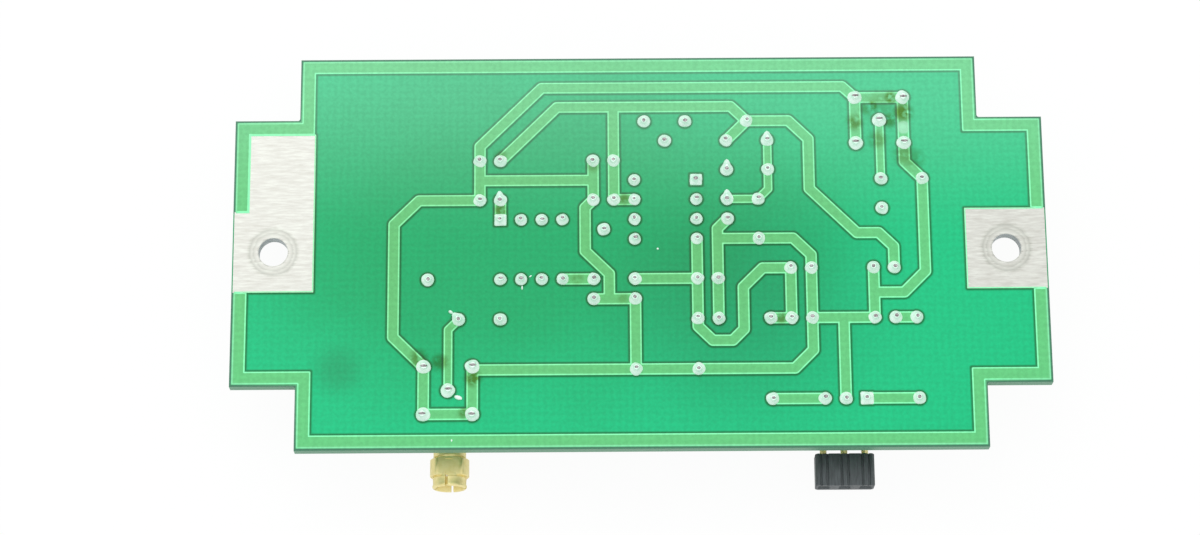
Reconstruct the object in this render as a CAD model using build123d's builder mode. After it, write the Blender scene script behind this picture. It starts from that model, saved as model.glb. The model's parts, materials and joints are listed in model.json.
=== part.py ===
"""Interface board: a small two-sided amplifier board, lying with its solder side up.

Millimetres. X runs along the board, Y across it and +Z out of the solder side.
The origin is midway between the two mounting holes, on the component-side face.
"""

import os
from math import atan2, degrees

from build123d import *

# --- Board -----------------------------------------------------------------
board_length = 100.0        # over both end tabs
board_width = 50.0
board_thickness = 1.6
notch_length = 8.0          # corner cut-out, measured along X
notch_width = 8.0           # corner cut-out, measured along Y
notch_corner_radius = 0.3   # left in each inner corner
hole_to_end = 5.0           # mounting hole to the end of its tab
hole_spacing = board_length - 2 * hole_to_end
hole_diameter = 3.6

# --- Copper ----------------------------------------------------------------
copper_thickness = 0.07
copper_to_edge = 0.15       # copper is kept back from the sawn edge
border_width = 1.7          # earth band that follows the outline
track_width = 1.4
signal_width = 1.05
component_track_width = 0.8
land_length = 10.0          # bare land, from the end of the tab inward
land_width = 10.3

# --- Hole grid: columns count to the right, rows count down (toward -Y) ------
pitch = 2.54
first_pin_x = -17.12        # square pad of the first amplifier, column 0, row 0
first_pin_y = 3.95

# --- Solder joints -----------------------------------------------------------
joint_radius = 0.85
pin_joint_radius = 0.76     # under the two eight-pin packages
leg_joint_radius = 0.97     # under the legs of the coaxial connectors
joint_height = 0.85
joint_top_radius = 0.42     # the clipped lead shows here
pad_sides = 8               # pads, joints and track ends are octagons, but for the square pads

# --- Leads -------------------------------------------------------------------
lead_diameter = 0.55
lead_bend_radius = 0.7
lead_sides = 6

# --- Eight-pin packages ------------------------------------------------------
package_length = 9.6
package_width = 6.35
package_height = 3.3
package_standoff = 0.5
package_draft = 6.0         # degrees, above and below the parting line
package_notch_radius = 0.8
package_notch_depth = 0.4
pin_thickness = 0.28
pin_shoulder_width = 1.45
pin_tip_width = 0.5
pin_shoulder_height = 0.9   # the wide shoulder stops this far from the board
rows_apart = 3              # grid steps between the two rows of pins

# --- Coaxial connectors ------------------------------------------------------
shell_size = 7.0            # square foot of either connector
shell_standoff = 0.3
elbow_height = 8.7          # right-angle block, measured from the board
elbow_axis_drop = 5.2       # barrel axis below the board
flange_thickness = 2.0      # foot of the upright connector
leg_spacing = 5.94
leg_size = 1.0
neck_radius = 2.0
neck_length = 2.8           # upright connector, foot to collar
collar_radius = 2.4
collar_length = 2.2
collar_flat = 1.8           # wrench flats, this far from the axis
collar_setback = 0.3        # the right-angle one's collar reaches this far under the board's edge
sleeve_radius = 2.1
sleeve_wall = 0.45
sleeve_length = 1.4
sleeve_seat = 0.8           # length of the sleeve's root inside the collar
sleeve_seat_radius = 1.8    # the root is turned down to this
slot_count = 4
slot_width = 0.35
slot_turn = 81              # degrees from the connector's X to its first slot
contact_radius = 0.45
contact_tail_radius = 0.4   # the right-angle contact's tail, down to the board
contact_recess = 0.5        # contact ends this far inside the mouth
insulator_recess = 1.5

# --- Three-way supply socket -------------------------------------------------
ways = 3
socket_length = 7.2
socket_depth = 4.0
socket_height = 2.5
socket_setback = 0.35       # the housing reaches this far under the board's edge
socket_pin = 0.6
socket_pin_drop = 4.25      # centre of the pins below the board
socket_chamfer = 0.25
socket_hole = 1.0
socket_hole_depth = 3.5
groove_depth = 0.2          # the housing's top has two grooves over each way
groove_width = 0.25
groove_spacing = 0.8        # a rib is left between the two

# --- Small parts ---------------------------------------------------------------
round_sides = 12            # round bodies are drawn with this many flats
capacitor_width = 4.6
capacitor_thickness = 2.4
capacitor_height = 4.2
capacitor_standoff = 1.3
capacitor_corner = 0.9      # cut off each corner of the front
capacitor_chamfer = 0.55
bead_radius = 2.1
bead_neck_radius = 1.6
bead_tip_radius = 1.1
bead_height = 4.8
bead_belly = 2.7            # from the top of the bead down to its widest
bead_standoff = 1.2
resistor_radius = 0.85
resistor_length = 3.3
resistor_end_radius = 1.0
resistor_cap_length = 0.9
upright_standoff = 0.4
choke_radius = 1.7
choke_length = 7.2
axial_standoff = 0.2
transistor_radius = 2.3
transistor_flat = 1.3
transistor_height = 4.6
transistor_standoff = 1.6
transistor_lead_pitch = 1.27

# --- What sits where, as (column, row) ---------------------------------------
top_track_setback = 3.905   # middle of the uppermost track to the board's +Y edge
coax_in_setback = 7.36      # middle of the right-angle connector to the board's -Y edge
top_row = (first_pin_y - board_width / 2 + top_track_setback) / pitch
second_row = top_row + 1    # next track down
coax_in_row = (first_pin_y + board_width / 2 - coax_in_setback) / pitch
amplifier_a = (0, 0)        # pins run along the row, body lies along X
amplifier_b = (9.5, -2)     # pins run down the column, body lies along Y
coax_in = (-2.5, coax_in_row)   # right-angle connector, leaves over the -Y edge
coax_out = (18.5, -5)       # upright connector
supply_socket = (16.5, 9)
transistor = (8, second_row + 0.75)
ceramic_capacitors = [
    ((-1, -3), (0, -3)), ((-1, -1), (0, -1)), ((4.5, -3), (5.5, -3)), ((4.5, -1), (5.5, -1)),
    ((4.5, 3), (4.5, 4)), ((6.5, 3), (6.5, 4)), ((9.5, 3), (10.5, 3)), ((9.5, 5), (10.5, 5)),
    ((14, 2.5), (15, 2.5)), ((18, 2.5), (19, 2.5)), ((11, -1), (11, 0)),
]
bead_capacitors = [((14, 5), (15, 5)), ((18, 5), (19, 5))]
resistors = [((11, -4), (13, -4)), ((11, -2.5), (13, -2.5)), ((-2, 5), (0, 5)), ((12.5, -1), (12.5, 1))]
upright_resistor = ((18.5, -2), (18.5, -0.5))
chokes = [((13, 5), (13, 9)), ((20, 5), (20, 9))]
feedthroughs = [(12, -5), (20.5, -2), (5, 0.5), (-3.5, 3), (6.5, 7.5), (9.5, 7.5)]
square_pads = [(0, 0), (9.5, -2), (17.5, 9)]     # pin 1 of the packages and of the socket

# --- Worked out from the sizes above -------------------------------------------
copper_side = board_thickness + copper_thickness
half_length = board_length / 2
half_width = board_width / 2
end_length = half_length - notch_length
tab_half_width = half_width - notch_width
leg = leg_spacing / 2 / pitch     # in grid steps


def place(column, row):
    """Plan position of a point of the hole grid."""
    return Vector(first_pin_x + column * pitch, first_pin_y - row * pitch)


def middle(ends):
    """Plan position halfway between two grid points."""
    return (place(*ends[0]) + place(*ends[1])) / 2


def bearing(ends):
    """Direction of the line from the first to the second grid point, in degrees."""
    run = place(*ends[1]) - place(*ends[0])
    return degrees(atan2(run.Y, run.X))


def lay_track(corners, width):
    """Draw a track through grid points as straight runs that meet in octagons."""
    for ends in zip(corners, corners[1:]):
        run = place(*ends[1]) - place(*ends[0])
        with Locations(middle(ends)):
            Rectangle(run.length, width, rotation=bearing(ends))
    lay_pads(corners, width / 2)


def lay_pads(points, radius):
    """Draw an octagonal pad at each grid point, or a square one, with its flats toward X and Y."""
    for point in points:
        with Locations(place(*point)):
            if point in square_pads:
                Rectangle(2 * radius, 2 * radius)
            else:
                RegularPolygon(radius, pad_sides, major_radius=False, rotation=180 / pad_sides)


def legs_around(centre):
    """Grid points of the four legs of a coaxial connector."""
    column, row = centre
    return [(column + i * leg, row + j * leg) for i in (-1, 1) for j in (-1, 1)]


def finish(piece, name):
    """Label a finished piece and write it out."""
    piece.part.label = name
    export_step(piece.part, f"parts/{name}.step")


os.makedirs("parts", exist_ok=True)

pins_a = [(amplifier_a[0] + i, amplifier_a[1] + j) for i in range(4) for j in (0, rows_apart)]
pins_b = [(amplifier_b[0] - j, amplifier_b[1] + i) for i in range(4) for j in (0, rows_apart)]
socket_pins = [(supply_socket[0] + i - (ways - 1) / 2, supply_socket[1]) for i in range(ways)]
transistor_pins = [(transistor[0] - 1, transistor[1]), (transistor[0], transistor[1] + 1),
                   (transistor[0] + 1, transistor[1])]
radial_parts = ceramic_capacitors + bead_capacitors
axial_parts = resistors + chokes
joints = {
    "solder_amplifier_a": (pins_a, pin_joint_radius),
    "solder_amplifier_b": (pins_b, pin_joint_radius),
    "solder_capacitors": ([end for ends in radial_parts for end in ends], joint_radius),
    "solder_resistors": ([end for ends in axial_parts + [upright_resistor] for end in ends],
                         joint_radius),
    "solder_transistor": (transistor_pins, joint_radius),
    "solder_socket": (socket_pins, joint_radius),
    "solder_feedthroughs": (feedthroughs, joint_radius),
    "solder_coax_in": (legs_around(coax_in) + [coax_in], leg_joint_radius),
    "solder_coax_out": (legs_around(coax_out) + [coax_out], leg_joint_radius),
}


# --- Board -----------------------------------------------------------------
# Glass-epoxy laminate, routed to a cross: a wide body with an end tab at either side.
def board_outline(inset):
    """Draw the board's outline, set back by an inset all round."""
    body_length = 2 * (end_length - inset)
    Rectangle(body_length, 2 * (half_width - inset))
    Rectangle(2 * (half_length - inset), 2 * (tab_half_width - inset))


with BuildPart() as laminate:
    with BuildSketch():
        board_outline(0)
        inner_corners = [v for v in vertices() if abs(abs(v.X) - end_length) + abs(abs(v.Y) - tab_half_width) < 0.01]
        fillet(inner_corners, notch_corner_radius)
        with GridLocations(hole_spacing, 0, 2, 1):
            Circle(hole_diameter / 2, mode=Mode.SUBTRACT)
    extrude(amount=board_thickness)
finish(laminate, "laminate")


# --- Solder-side copper -------------------------------------------------------
# Etched tracks under the solder mask, one piece for each supply and one for the signals.
in_column, in_row = coax_in
out_column, out_row = coax_out
earth_tracks = [
    [(in_column - leg, in_row - leg), (-5.15, 5.85), (-5.15, 0.2), (-3.95, -1), (-1, -1), (-1, -3.75),
     (-4.75 - top_row, top_row), (out_column - leg - 0.6, top_row), (out_column - leg, out_row - leg)],
    [(in_column - leg, in_row - leg), (in_column - leg, in_row + leg), (in_column + leg, in_row + leg),
     (in_column + leg, in_row - leg)],
    [(-1, -2), (4.5, -2)],
    [(4.5, -3), (4.5, -1), (4.1, -0.6), (4.1, 1.6), (5.25, 2.75), (5.25, 4)],
    [(4.5, 4), (6.5, 4), (6.5, 7.5)],
    [(in_column + leg, in_row - leg), (-1.1, 7.5), (14.1, 7.5), (15, 6.6), (15, 1.85), (14.15, 1), (10.5, 1)],
    [(11, 0), (10.5, 0.5), (10.5, 5)],
    [(15, 5), (18, 5)],
    [(16.5, 5), (16.5, 9)],
    [(18, 2.5), (18, 5)],
    [(18, 3.75), (19.45, 3.75), (20.5, 2.7), (20.5, -2), (out_column + leg, -2.85),
     (out_column + leg, out_row - leg), (out_column - leg, out_row - leg), (out_column - leg, out_row + leg)],
]
positive_tracks = [
    [(0, -3), (-3 - second_row, second_row), (17 + second_row, second_row), (12, -5), (11, -4)],
    [(5.5, second_row), (5.5, -1), (6.5, -1)],
    [(12, -5), (14.05, -5), (15, -4.05), (15, -1.5), (17.25, 0.75), (18.3, 0.75), (19, 1.45), (19, 2.5)],
]
negative_tracks = [
    [(6.5, 3), (9.5, 3)],
    [(9.5, 1), (9.5, 5.4), (10.2, 6.1), (11.15, 6.1), (11.7, 5.55), (11.7, 3.45), (12.65, 2.5), (14, 2.5),
     (14, 5), (13, 5)],
]
short_tracks = [[(0, -1), (0, 0)], [(3, 3), (4.5, 3)], [(19, 5), (20, 5)], [(13, 9), (15.5, 9)],
                [(17.5, 9), (20, 9)]]
signal_tracks = [
    [coax_in, (in_column, 5.5), (-2, 5)],
    [coax_out, (out_column, -2)],
    [(13, -4), (13, -1.5), (12.5, -1), (11, -1)],
]
earth_pads = [(-1, -1), (-1, -3), (4.5, -3), (4.5, -1), (4.5, 4), (6.5, 4), (6.5, 7.5), (9.5, 7.5), (11, 0),
              (10.5, 3), (10.5, 5), (12.5, 1), (15, 2.5), (15, 5), (18, 2.5), (18, 5), (16.5, 9),
              (20.5, -2)]
positive_pads = [(0, -3), (5.5, -3), (5.5, -1), (12, -5), (11, -4), (19, 2.5)]
negative_pads = [(9.5, 3), (9.5, 5), (14, 2.5), (14, 5), (13, 5)]
signal_pads = [(0, -1), (4.5, 3), (19, 5), (20, 5), (13, 9), (15.5, 9), (17.5, 9), (20, 9), (-2, 5),
               (18.5, -2), (13, -4), (13, -2.5), (12.5, -1), (11, -1)]


with BuildPart() as earth_copper:
    with BuildSketch(Plane.XY.offset(board_thickness)):
        for corners in earth_tracks:
            lay_track(corners, track_width)
        lay_pads(earth_pads, joint_radius)
        lay_pads(legs_around(coax_in) + legs_around(coax_out), leg_joint_radius)
    extrude(amount=copper_thickness)
finish(earth_copper, "earth_copper")

with BuildPart() as positive_copper:
    with BuildSketch(Plane.XY.offset(board_thickness)):
        for corners in positive_tracks:
            lay_track(corners, track_width)
        lay_pads(positive_pads, joint_radius)
        lay_pads([(6.5, -1)], pin_joint_radius)
    extrude(amount=copper_thickness)
finish(positive_copper, "positive_copper")

with BuildPart() as negative_copper:
    with BuildSketch(Plane.XY.offset(board_thickness)):
        for corners in negative_tracks:
            lay_track(corners, track_width)
        lay_pads(negative_pads, joint_radius)
        lay_pads([(6.5, 3), (9.5, 1)], pin_joint_radius)
    extrude(amount=copper_thickness)
finish(negative_copper, "negative_copper")

with BuildPart() as signal_copper:
    with BuildSketch(Plane.XY.offset(board_thickness)):
        for corners in short_tracks:
            lay_track(corners, track_width)
        for corners in signal_tracks:
            lay_track(corners, signal_width)
        lay_pads(signal_pads, joint_radius)
        lay_pads([(0, 0), (3, 3)], pin_joint_radius)
        lay_pads([coax_in, coax_out], leg_joint_radius)
    extrude(amount=copper_thickness)
finish(signal_copper, "signal_copper")

# Pads that no track on this side reaches.
laid = earth_pads + positive_pads + negative_pads + signal_pads
laid_pins = [(6.5, -1), (6.5, 3), (9.5, 1), (0, 0), (3, 3)]
with BuildPart() as lone_pads:
    with BuildSketch(Plane.XY.offset(board_thickness)):
        for points, radius in joints.values():
            lone = [point for point in points if point not in laid + laid_pins]
            if lone and radius < leg_joint_radius:
                lay_pads(lone, radius)
    extrude(amount=copper_thickness)
finish(lone_pads, "lone_pads")

# Earth band along the whole outline, under the mask.
with BuildPart() as earth_band:
    with BuildSketch(Plane.XY.offset(board_thickness)):
        board_outline(copper_to_edge)
        with BuildSketch(mode=Mode.SUBTRACT):
            board_outline(copper_to_edge + border_width)
        with Locations((half_length, 0), (-half_length, 0)):
            Rectangle(2 * land_length, land_width, mode=Mode.SUBTRACT)
    extrude(amount=copper_thickness)
finish(earth_band, "earth_band")

# Bare tinned lands round the two mounting holes, where the case's pillars touch.
land_end = half_length - copper_to_edge
land_start = half_length - land_length
with BuildPart() as right_land:
    with BuildSketch(Plane.XY.offset(board_thickness)):
        with Locations(((land_start + land_end) / 2, 0)):
            Rectangle(land_end - land_start, land_width)
        with Locations((hole_spacing / 2, 0)):
            Circle(hole_diameter / 2, mode=Mode.SUBTRACT)
    extrude(amount=copper_thickness)
finish(right_land, "right_land")

# The left one goes on toward +Y, between the notch and the earth band.
left_land_end = land_end - border_width
band_edge = tab_half_width - copper_to_edge - border_width
with BuildPart() as left_land:
    with BuildSketch(Plane.XY.offset(board_thickness)):
        with Locations((-(land_start + land_end) / 2, 0)):
            Rectangle(land_end - land_start, land_width)
        with Locations((-(land_start + left_land_end) / 2, land_width / 2)):
            Rectangle(left_land_end - land_start, band_edge - land_width / 2, align=(Align.CENTER, Align.MIN))
        with Locations((-hole_spacing / 2, 0)):
            Circle(hole_diameter / 2, mode=Mode.SUBTRACT)
    extrude(amount=copper_thickness)
finish(left_land, "left_land")


# --- Solder joints -----------------------------------------------------------
# Each tapers from its pad up to the clipped lead.
for name, (points, radius) in joints.items():
    with BuildPart() as solder:
        with BuildSketch(Plane.XY.offset(copper_side)):
            lay_pads(points, radius)
        extrude(amount=joint_height, taper=degrees(atan2(radius - joint_top_radius, joint_height)))
    finish(solder, name)


# --- Component-side tracks -----------------------------------------------------
# They join what the solder side leaves open: the amplifiers' supplies, inputs and outputs.
component_tracks = [
    [(0, 5), (0.5, 4.5), (0.5, 0.5), (1, 0)],
    [(0, -3), (1.5, -1.5), (1.5, 2.5), (1, 3)],
    [(3, 0), (4, 1), (4, 1.5), (5.5, 3), (6.5, 3)],
    [(2, 3), (2, 4), (3.5, 5.5), (5.5, 5.5), (8, 3), (8, 1.5), (9.5, 0)],
    [(6.5, 0), (7.5, -1), (7.5, -2.5), (8.3, -3.3), (16, -3.3), (18.5, -0.8), (18.5, -0.5)],
    [(11, -2.5), (9.5, -1)],
    [(-3.5, 3), (0, 3)],
    [transistor_pins[0], (6.5, transistor[1] + 0.5), (6.5, -2)],
]
with BuildPart() as component_copper:
    with BuildSketch(Plane.XY.offset(-copper_thickness)):
        for corners in component_tracks:
            lay_track(corners, component_track_width)
    extrude(amount=copper_thickness)
finish(component_copper, "component_copper")
lead_top = -copper_thickness     # leads of all parts end here, against the copper


# --- Eight-pin packages ------------------------------------------------------
def package_plane(pins, turn):
    """Parting plane of a package: origin over the middle of its pins, X away from the notch."""
    centre = (place(*pins[0]) + place(*pins[-1])) / 2
    parting = -package_standoff - package_height / 2
    along = Vector(1, 0, 0).rotate(Axis.Z, turn)
    return Plane(origin=centre + Vector(0, 0, parting), x_dir=along, z_dir=(0, 0, 1))


def package_body(parting):
    """Mould one package: draft above and below the parting line, a notch at pin 1's end."""
    with BuildPart() as body:
        with BuildSketch(parting):
            Rectangle(package_length, package_width)
        extrude(amount=package_height / 2, taper=package_draft)
        with BuildSketch(parting):
            Rectangle(package_length, package_width)
        extrude(amount=-package_height / 2, taper=package_draft)
        with BuildSketch(parting.offset(-package_height / 2)):
            with Locations((-package_length / 2, 0)):
                Circle(package_notch_radius)
        extrude(amount=package_notch_depth, mode=Mode.SUBTRACT)
    return body


def package_pins(parting):
    """Form the eight pins of one package: arm out of the body, wide leg, narrow tip."""
    reach = rows_apart * pitch / 2
    outer, inner = reach + pin_thickness / 2, reach - pin_thickness / 2
    shoulder = -pin_shoulder_height - parting.origin.Z
    tip = lead_top - parting.origin.Z
    with BuildPart() as pins:
        for side in (-1, 1):
            for step in range(4):
                foot = parting.from_local_coords(Vector((step - 1.5) * pitch, 0, 0))
                section = Plane(origin=foot, x_dir=parting.y_dir * side, z_dir=parting.x_dir * side)
                with BuildSketch(section):
                    with BuildLine():
                        Polyline((package_width / 2, -pin_thickness / 2), (outer, -pin_thickness / 2),
                                 (outer, shoulder), (inner, shoulder), (inner, pin_thickness / 2),
                                 (package_width / 2, pin_thickness / 2), close=True)
                    make_face()
                    chamfer(vertices().sort_by_distance((outer, -pin_thickness / 2))[0], pin_thickness / 2)
                extrude(amount=pin_shoulder_width / 2, both=True)
                with BuildSketch(section):
                    with Locations((reach, shoulder)):
                        Rectangle(pin_thickness, tip - shoulder, align=(Align.CENTER, Align.MIN))
                extrude(amount=pin_tip_width / 2, both=True)
    return pins


for name, pins, turn in (("amplifier_a", pins_a, 0), ("amplifier_b", pins_b, -90)):
    parting = package_plane(pins, turn)
    finish(package_body(parting), name)
    finish(package_pins(parting), f"{name}_pins")


# --- Coaxial connectors ------------------------------------------------------
# Push-fit type: a shell with a barrel, a slotted spring sleeve, an insulator and a contact.
bore_radius = sleeve_radius - sleeve_wall
turn_room = contact_radius + 0.75      # cavity round the bend of the right-angle contact


def shell(axis, root, collar_start, bore_start, block_height):
    """Machine a shell: block on four legs, neck, collar with wrench flats, stepped bore."""
    centre = (axis.origin.X, axis.origin.Y)
    collar_end = collar_start + collar_length
    with BuildPart() as body:
        with BuildSketch(Plane.XY.offset(-shell_standoff)):
            with Locations(centre):
                Rectangle(shell_size, shell_size)
        extrude(amount=shell_standoff - block_height)
        chamfer(edges().filter_by(Axis.Z), shell_size / 16)
        with BuildSketch(Plane.XY.offset(-shell_standoff)):
            with Locations(centre):
                with GridLocations(leg_spacing, leg_spacing, 2, 2):
                    Rectangle(leg_size, leg_size)
        extrude(amount=shell_standoff + lead_top)
        with BuildSketch(axis.offset(root)):
            Circle(neck_radius)
        extrude(amount=collar_start - root)
        with BuildSketch(axis.offset(collar_start)):
            Circle(collar_radius)
            Rectangle(2 * collar_radius, 2 * collar_flat, mode=Mode.INTERSECT)
        extrude(amount=collar_length)
        with BuildSketch(axis.offset(collar_end)):
            Circle(bore_radius)
        extrude(amount=bore_start - collar_end, mode=Mode.SUBTRACT)
        with BuildSketch(axis.offset(collar_end)):
            Circle(sleeve_seat_radius)
        extrude(amount=-sleeve_seat, mode=Mode.SUBTRACT)
    return body


def spring_sleeve(axis, collar_start):
    """Turn the spring sleeve and saw its slots back to the collar."""
    collar_end = collar_start + collar_length
    with BuildPart() as sleeve:
        with BuildSketch(axis.offset(collar_end)):
            Circle(sleeve_radius)
            Circle(bore_radius, mode=Mode.SUBTRACT)
        extrude(amount=sleeve_length)
        with BuildSketch(axis.offset(collar_end)):
            Circle(sleeve_seat_radius)
            Circle(bore_radius, mode=Mode.SUBTRACT)
        extrude(amount=-sleeve_seat)
        with BuildSketch(axis.offset(collar_end)):
            with PolarLocations(sleeve_radius, slot_count, start_angle=slot_turn):
                Rectangle(2 * sleeve_wall + 0.5, slot_width)
        extrude(amount=sleeve_length, mode=Mode.SUBTRACT)
    return sleeve


def insulator(axis, start, mouth):
    """Cut the insulator: a plain bush round the contact."""
    with BuildPart() as bush:
        with BuildSketch(axis.offset(start)):
            Circle(bore_radius)
            Circle(contact_radius, mode=Mode.SUBTRACT)
        extrude(amount=mouth - insulator_recess - start)
    return bush


elbow_x, elbow_y = place(*coax_in).X, place(*coax_in).Y
elbow_axis = Plane(origin=(elbow_x, elbow_y, -elbow_axis_drop), x_dir=(1, 0, 0), z_dir=(0, -1, 0))
elbow_collar = half_width - collar_setback + elbow_y
elbow_mouth = elbow_collar + collar_length + sleeve_length
elbow_shell = shell(elbow_axis, shell_size / 2, elbow_collar, -turn_room, elbow_height)
with BuildPart() as coax_in_shell:
    add(elbow_shell.part)
    with BuildSketch(Plane.XY.offset(-shell_standoff)):
        with Locations((elbow_x, elbow_y)):
            Circle(turn_room)
    extrude(amount=shell_standoff - elbow_axis_drop, mode=Mode.SUBTRACT)
finish(coax_in_shell, "coax_in_shell")
finish(spring_sleeve(elbow_axis, elbow_collar), "coax_in_sleeve")
finish(insulator(elbow_axis, turn_room, elbow_mouth), "coax_in_insulator")
with BuildPart() as coax_in_contact:
    with BuildSketch(elbow_axis.offset(-contact_radius)):
        Circle(contact_radius)
    extrude(amount=contact_radius + elbow_mouth - contact_recess)
    with BuildSketch(Plane.XY.offset(-elbow_axis_drop)):
        with Locations((elbow_x, elbow_y)):
            Circle(contact_tail_radius)
    extrude(amount=elbow_axis_drop + lead_top)
finish(coax_in_contact, "coax_in_contact")

upright_axis = Plane(origin=place(*coax_out), x_dir=(1, 0, 0), z_dir=(0, 0, -1))
upright_root = shell_standoff + flange_thickness
upright_collar = upright_root + neck_length
upright_mouth = upright_collar + collar_length + sleeve_length
finish(shell(upright_axis, upright_root, upright_collar, shell_standoff, upright_root), "coax_out_shell")
finish(spring_sleeve(upright_axis, upright_collar), "coax_out_sleeve")
finish(insulator(upright_axis, shell_standoff, upright_mouth), "coax_out_insulator")
with BuildPart() as coax_out_contact:
    with BuildSketch(upright_axis.offset(-lead_top)):
        Circle(contact_radius)
    extrude(amount=upright_mouth - contact_recess + lead_top)
finish(coax_out_contact, "coax_out_contact")


# --- Three-way supply socket -------------------------------------------------
# The housing lies at the board's edge; its bent pins run back under the board to the pads.
socket_x = place(*supply_socket).X
socket_y = place(*supply_socket).Y
socket_back = -half_width + socket_setback
housing_centre = Vector(socket_x, socket_back - socket_depth / 2, -socket_pin_drop)
way_places = [(i - (ways - 1) / 2) * pitch for i in range(ways)]
with BuildPart() as socket_housing:
    with BuildSketch(Plane(origin=housing_centre, z_dir=(0, 0, 1))):
        Rectangle(socket_length, socket_depth)
    extrude(amount=socket_height / 2, both=True)
    chamfer(edges().filter_by(Axis.Y), socket_chamfer)
    with BuildSketch(Plane(origin=housing_centre + Vector(0, 0, socket_height / 2), z_dir=(0, 0, 1))):
        for way in way_places:
            with Locations((way - groove_spacing / 2, 0), (way + groove_spacing / 2, 0)):
                Rectangle(groove_width, socket_depth)
    extrude(amount=-groove_depth, mode=Mode.SUBTRACT)
    front = housing_centre - Vector(0, socket_depth / 2, 0)
    with BuildSketch(Plane(origin=front, x_dir=(1, 0, 0), z_dir=(0, -1, 0))):
        with Locations(*[(way, 0) for way in way_places]):
            Rectangle(socket_hole, socket_hole)
    extrude(amount=-socket_hole_depth, mode=Mode.SUBTRACT)
finish(socket_housing, "socket_housing")

with BuildPart() as socket_contacts:
    for way in way_places:
        with BuildSketch(Plane(origin=(socket_x + way, 0, 0), x_dir=(0, 1, 0), z_dir=(1, 0, 0))):
            with BuildLine():
                Polyline((socket_y + socket_pin / 2, lead_top),
                         (socket_y + socket_pin / 2, -socket_pin_drop - socket_pin / 2),
                         (socket_back, -socket_pin_drop - socket_pin / 2),
                         (socket_back, -socket_pin_drop + socket_pin / 2),
                         (socket_y - socket_pin / 2, -socket_pin_drop + socket_pin / 2),
                         (socket_y - socket_pin / 2, lead_top), close=True)
            make_face()
            outer_corner = (socket_y + socket_pin / 2, -socket_pin_drop - socket_pin / 2)
            chamfer(vertices().sort_by_distance(outer_corner)[0], socket_pin / 2)
        extrude(amount=socket_pin / 2, both=True)
finish(socket_contacts, "socket_contacts")


# --- Radial capacitors ---------------------------------------------------------
# Dipped ceramic bodies stand across their two leads; two are round tantalum beads.
def upright_plane(ends, height):
    """Vertical plane through the two leads: X from lead to lead, Y toward the solder side."""
    along = Vector(1, 0, 0).rotate(Axis.Z, bearing(ends))
    return Plane(origin=middle(ends) + Vector(0, 0, height), x_dir=along,
                 z_dir=along.cross(Vector(0, 0, 1)))


for number, ends in enumerate(ceramic_capacitors, 1):
    with BuildPart() as capacitor:
        with BuildSketch(upright_plane(ends, -capacitor_standoff - capacitor_height / 2)):
            Rectangle(capacitor_width, capacitor_height)
            chamfer(vertices(), capacitor_corner)
        extrude(amount=capacitor_thickness / 2, both=True)
        rims = faces().filter_by(GeomType.PLANE).sort_by(SortBy.AREA)[-2:].edges()
        chamfer(rims, capacitor_chamfer)
    finish(capacitor, f"ceramic_capacitor_{number}")

for number, ends in enumerate(bead_capacitors, 1):
    levels = [(bead_standoff, bead_neck_radius), (bead_standoff + bead_belly, bead_radius),
              (bead_standoff + bead_height, bead_tip_radius)]
    with BuildPart() as bead:
        for upper, lower in zip(levels, levels[1:]):
            for drop, radius in (upper, lower):
                with BuildSketch(Plane.XY.offset(-drop)):
                    with Locations(middle(ends)):
                        RegularPolygon(radius, round_sides)
            loft(ruled=True)
    finish(bead, f"bead_capacitor_{number}")

with BuildPart() as capacitor_leads:
    for group, standoff in ((ceramic_capacitors, capacitor_standoff), (bead_capacitors, bead_standoff)):
        with BuildSketch(Plane.XY.offset(-standoff)):
            with Locations(*[place(*end) for ends in group for end in ends]):
                RegularPolygon(lead_diameter / 2, lead_sides)
        extrude(amount=standoff + lead_top)
finish(capacitor_leads, "capacitor_leads")


# --- Axial parts ---------------------------------------------------------------
# Resistors and chokes lie along the board on bent leads; one resistor stands on end.
def wire(points, bend):
    """Draw a six-sided wire along its points, with every corner cut off by the bend."""
    path_points = [points[0]]
    for before, corner, after in zip(points, points[1:], points[2:]):
        path_points.append(corner + (before - corner).normalized() * bend)
        path_points.append(corner + (after - corner).normalized() * bend)
    path_points.append(points[-1])
    with BuildPart() as lead:
        with BuildLine() as path:
            Polyline(*path_points)
        with BuildSketch(Plane(origin=points[0], z_dir=path.line % 0)):
            RegularPolygon(lead_diameter / 2, lead_sides)
        sweep(transition=Transition.RIGHT)
    return lead.part


def axial_wires(ends, body_length, height):
    """The two bent leads of a part that lies along the board."""
    along = Vector(1, 0, 0).rotate(Axis.Z, bearing(ends))
    centre = middle(ends) + Vector(0, 0, height)
    wires = []
    for side, end in ((-1, ends[0]), (1, ends[1])):
        foot = place(*end)
        wires.append(wire([centre + along * side * body_length / 2, Vector(foot.X, foot.Y, height),
                           Vector(foot.X, foot.Y, lead_top)], lead_bend_radius))
    return wires


def axial_plane(ends, height):
    """Plane whose X runs along a part that lies between two grid points."""
    along = Vector(1, 0, 0).rotate(Axis.Z, bearing(ends))
    return Plane(origin=middle(ends) + Vector(0, 0, height), x_dir=along, z_dir=(0, 0, 1))


def resistor_body(lie):
    """Coat a resistor: a slim body between two fatter end caps, along the plane's X."""
    across = Plane(origin=lie.origin, z_dir=lie.x_dir)
    with BuildPart() as body:
        with BuildSketch(across):
            RegularPolygon(resistor_radius, round_sides)
        extrude(amount=resistor_length / 2, both=True)
        for side in (-1, 1):
            with BuildSketch(across.offset(side * resistor_length / 2)):
                RegularPolygon(resistor_end_radius, round_sides)
            extrude(amount=-side * resistor_cap_length)
    return body


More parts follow.
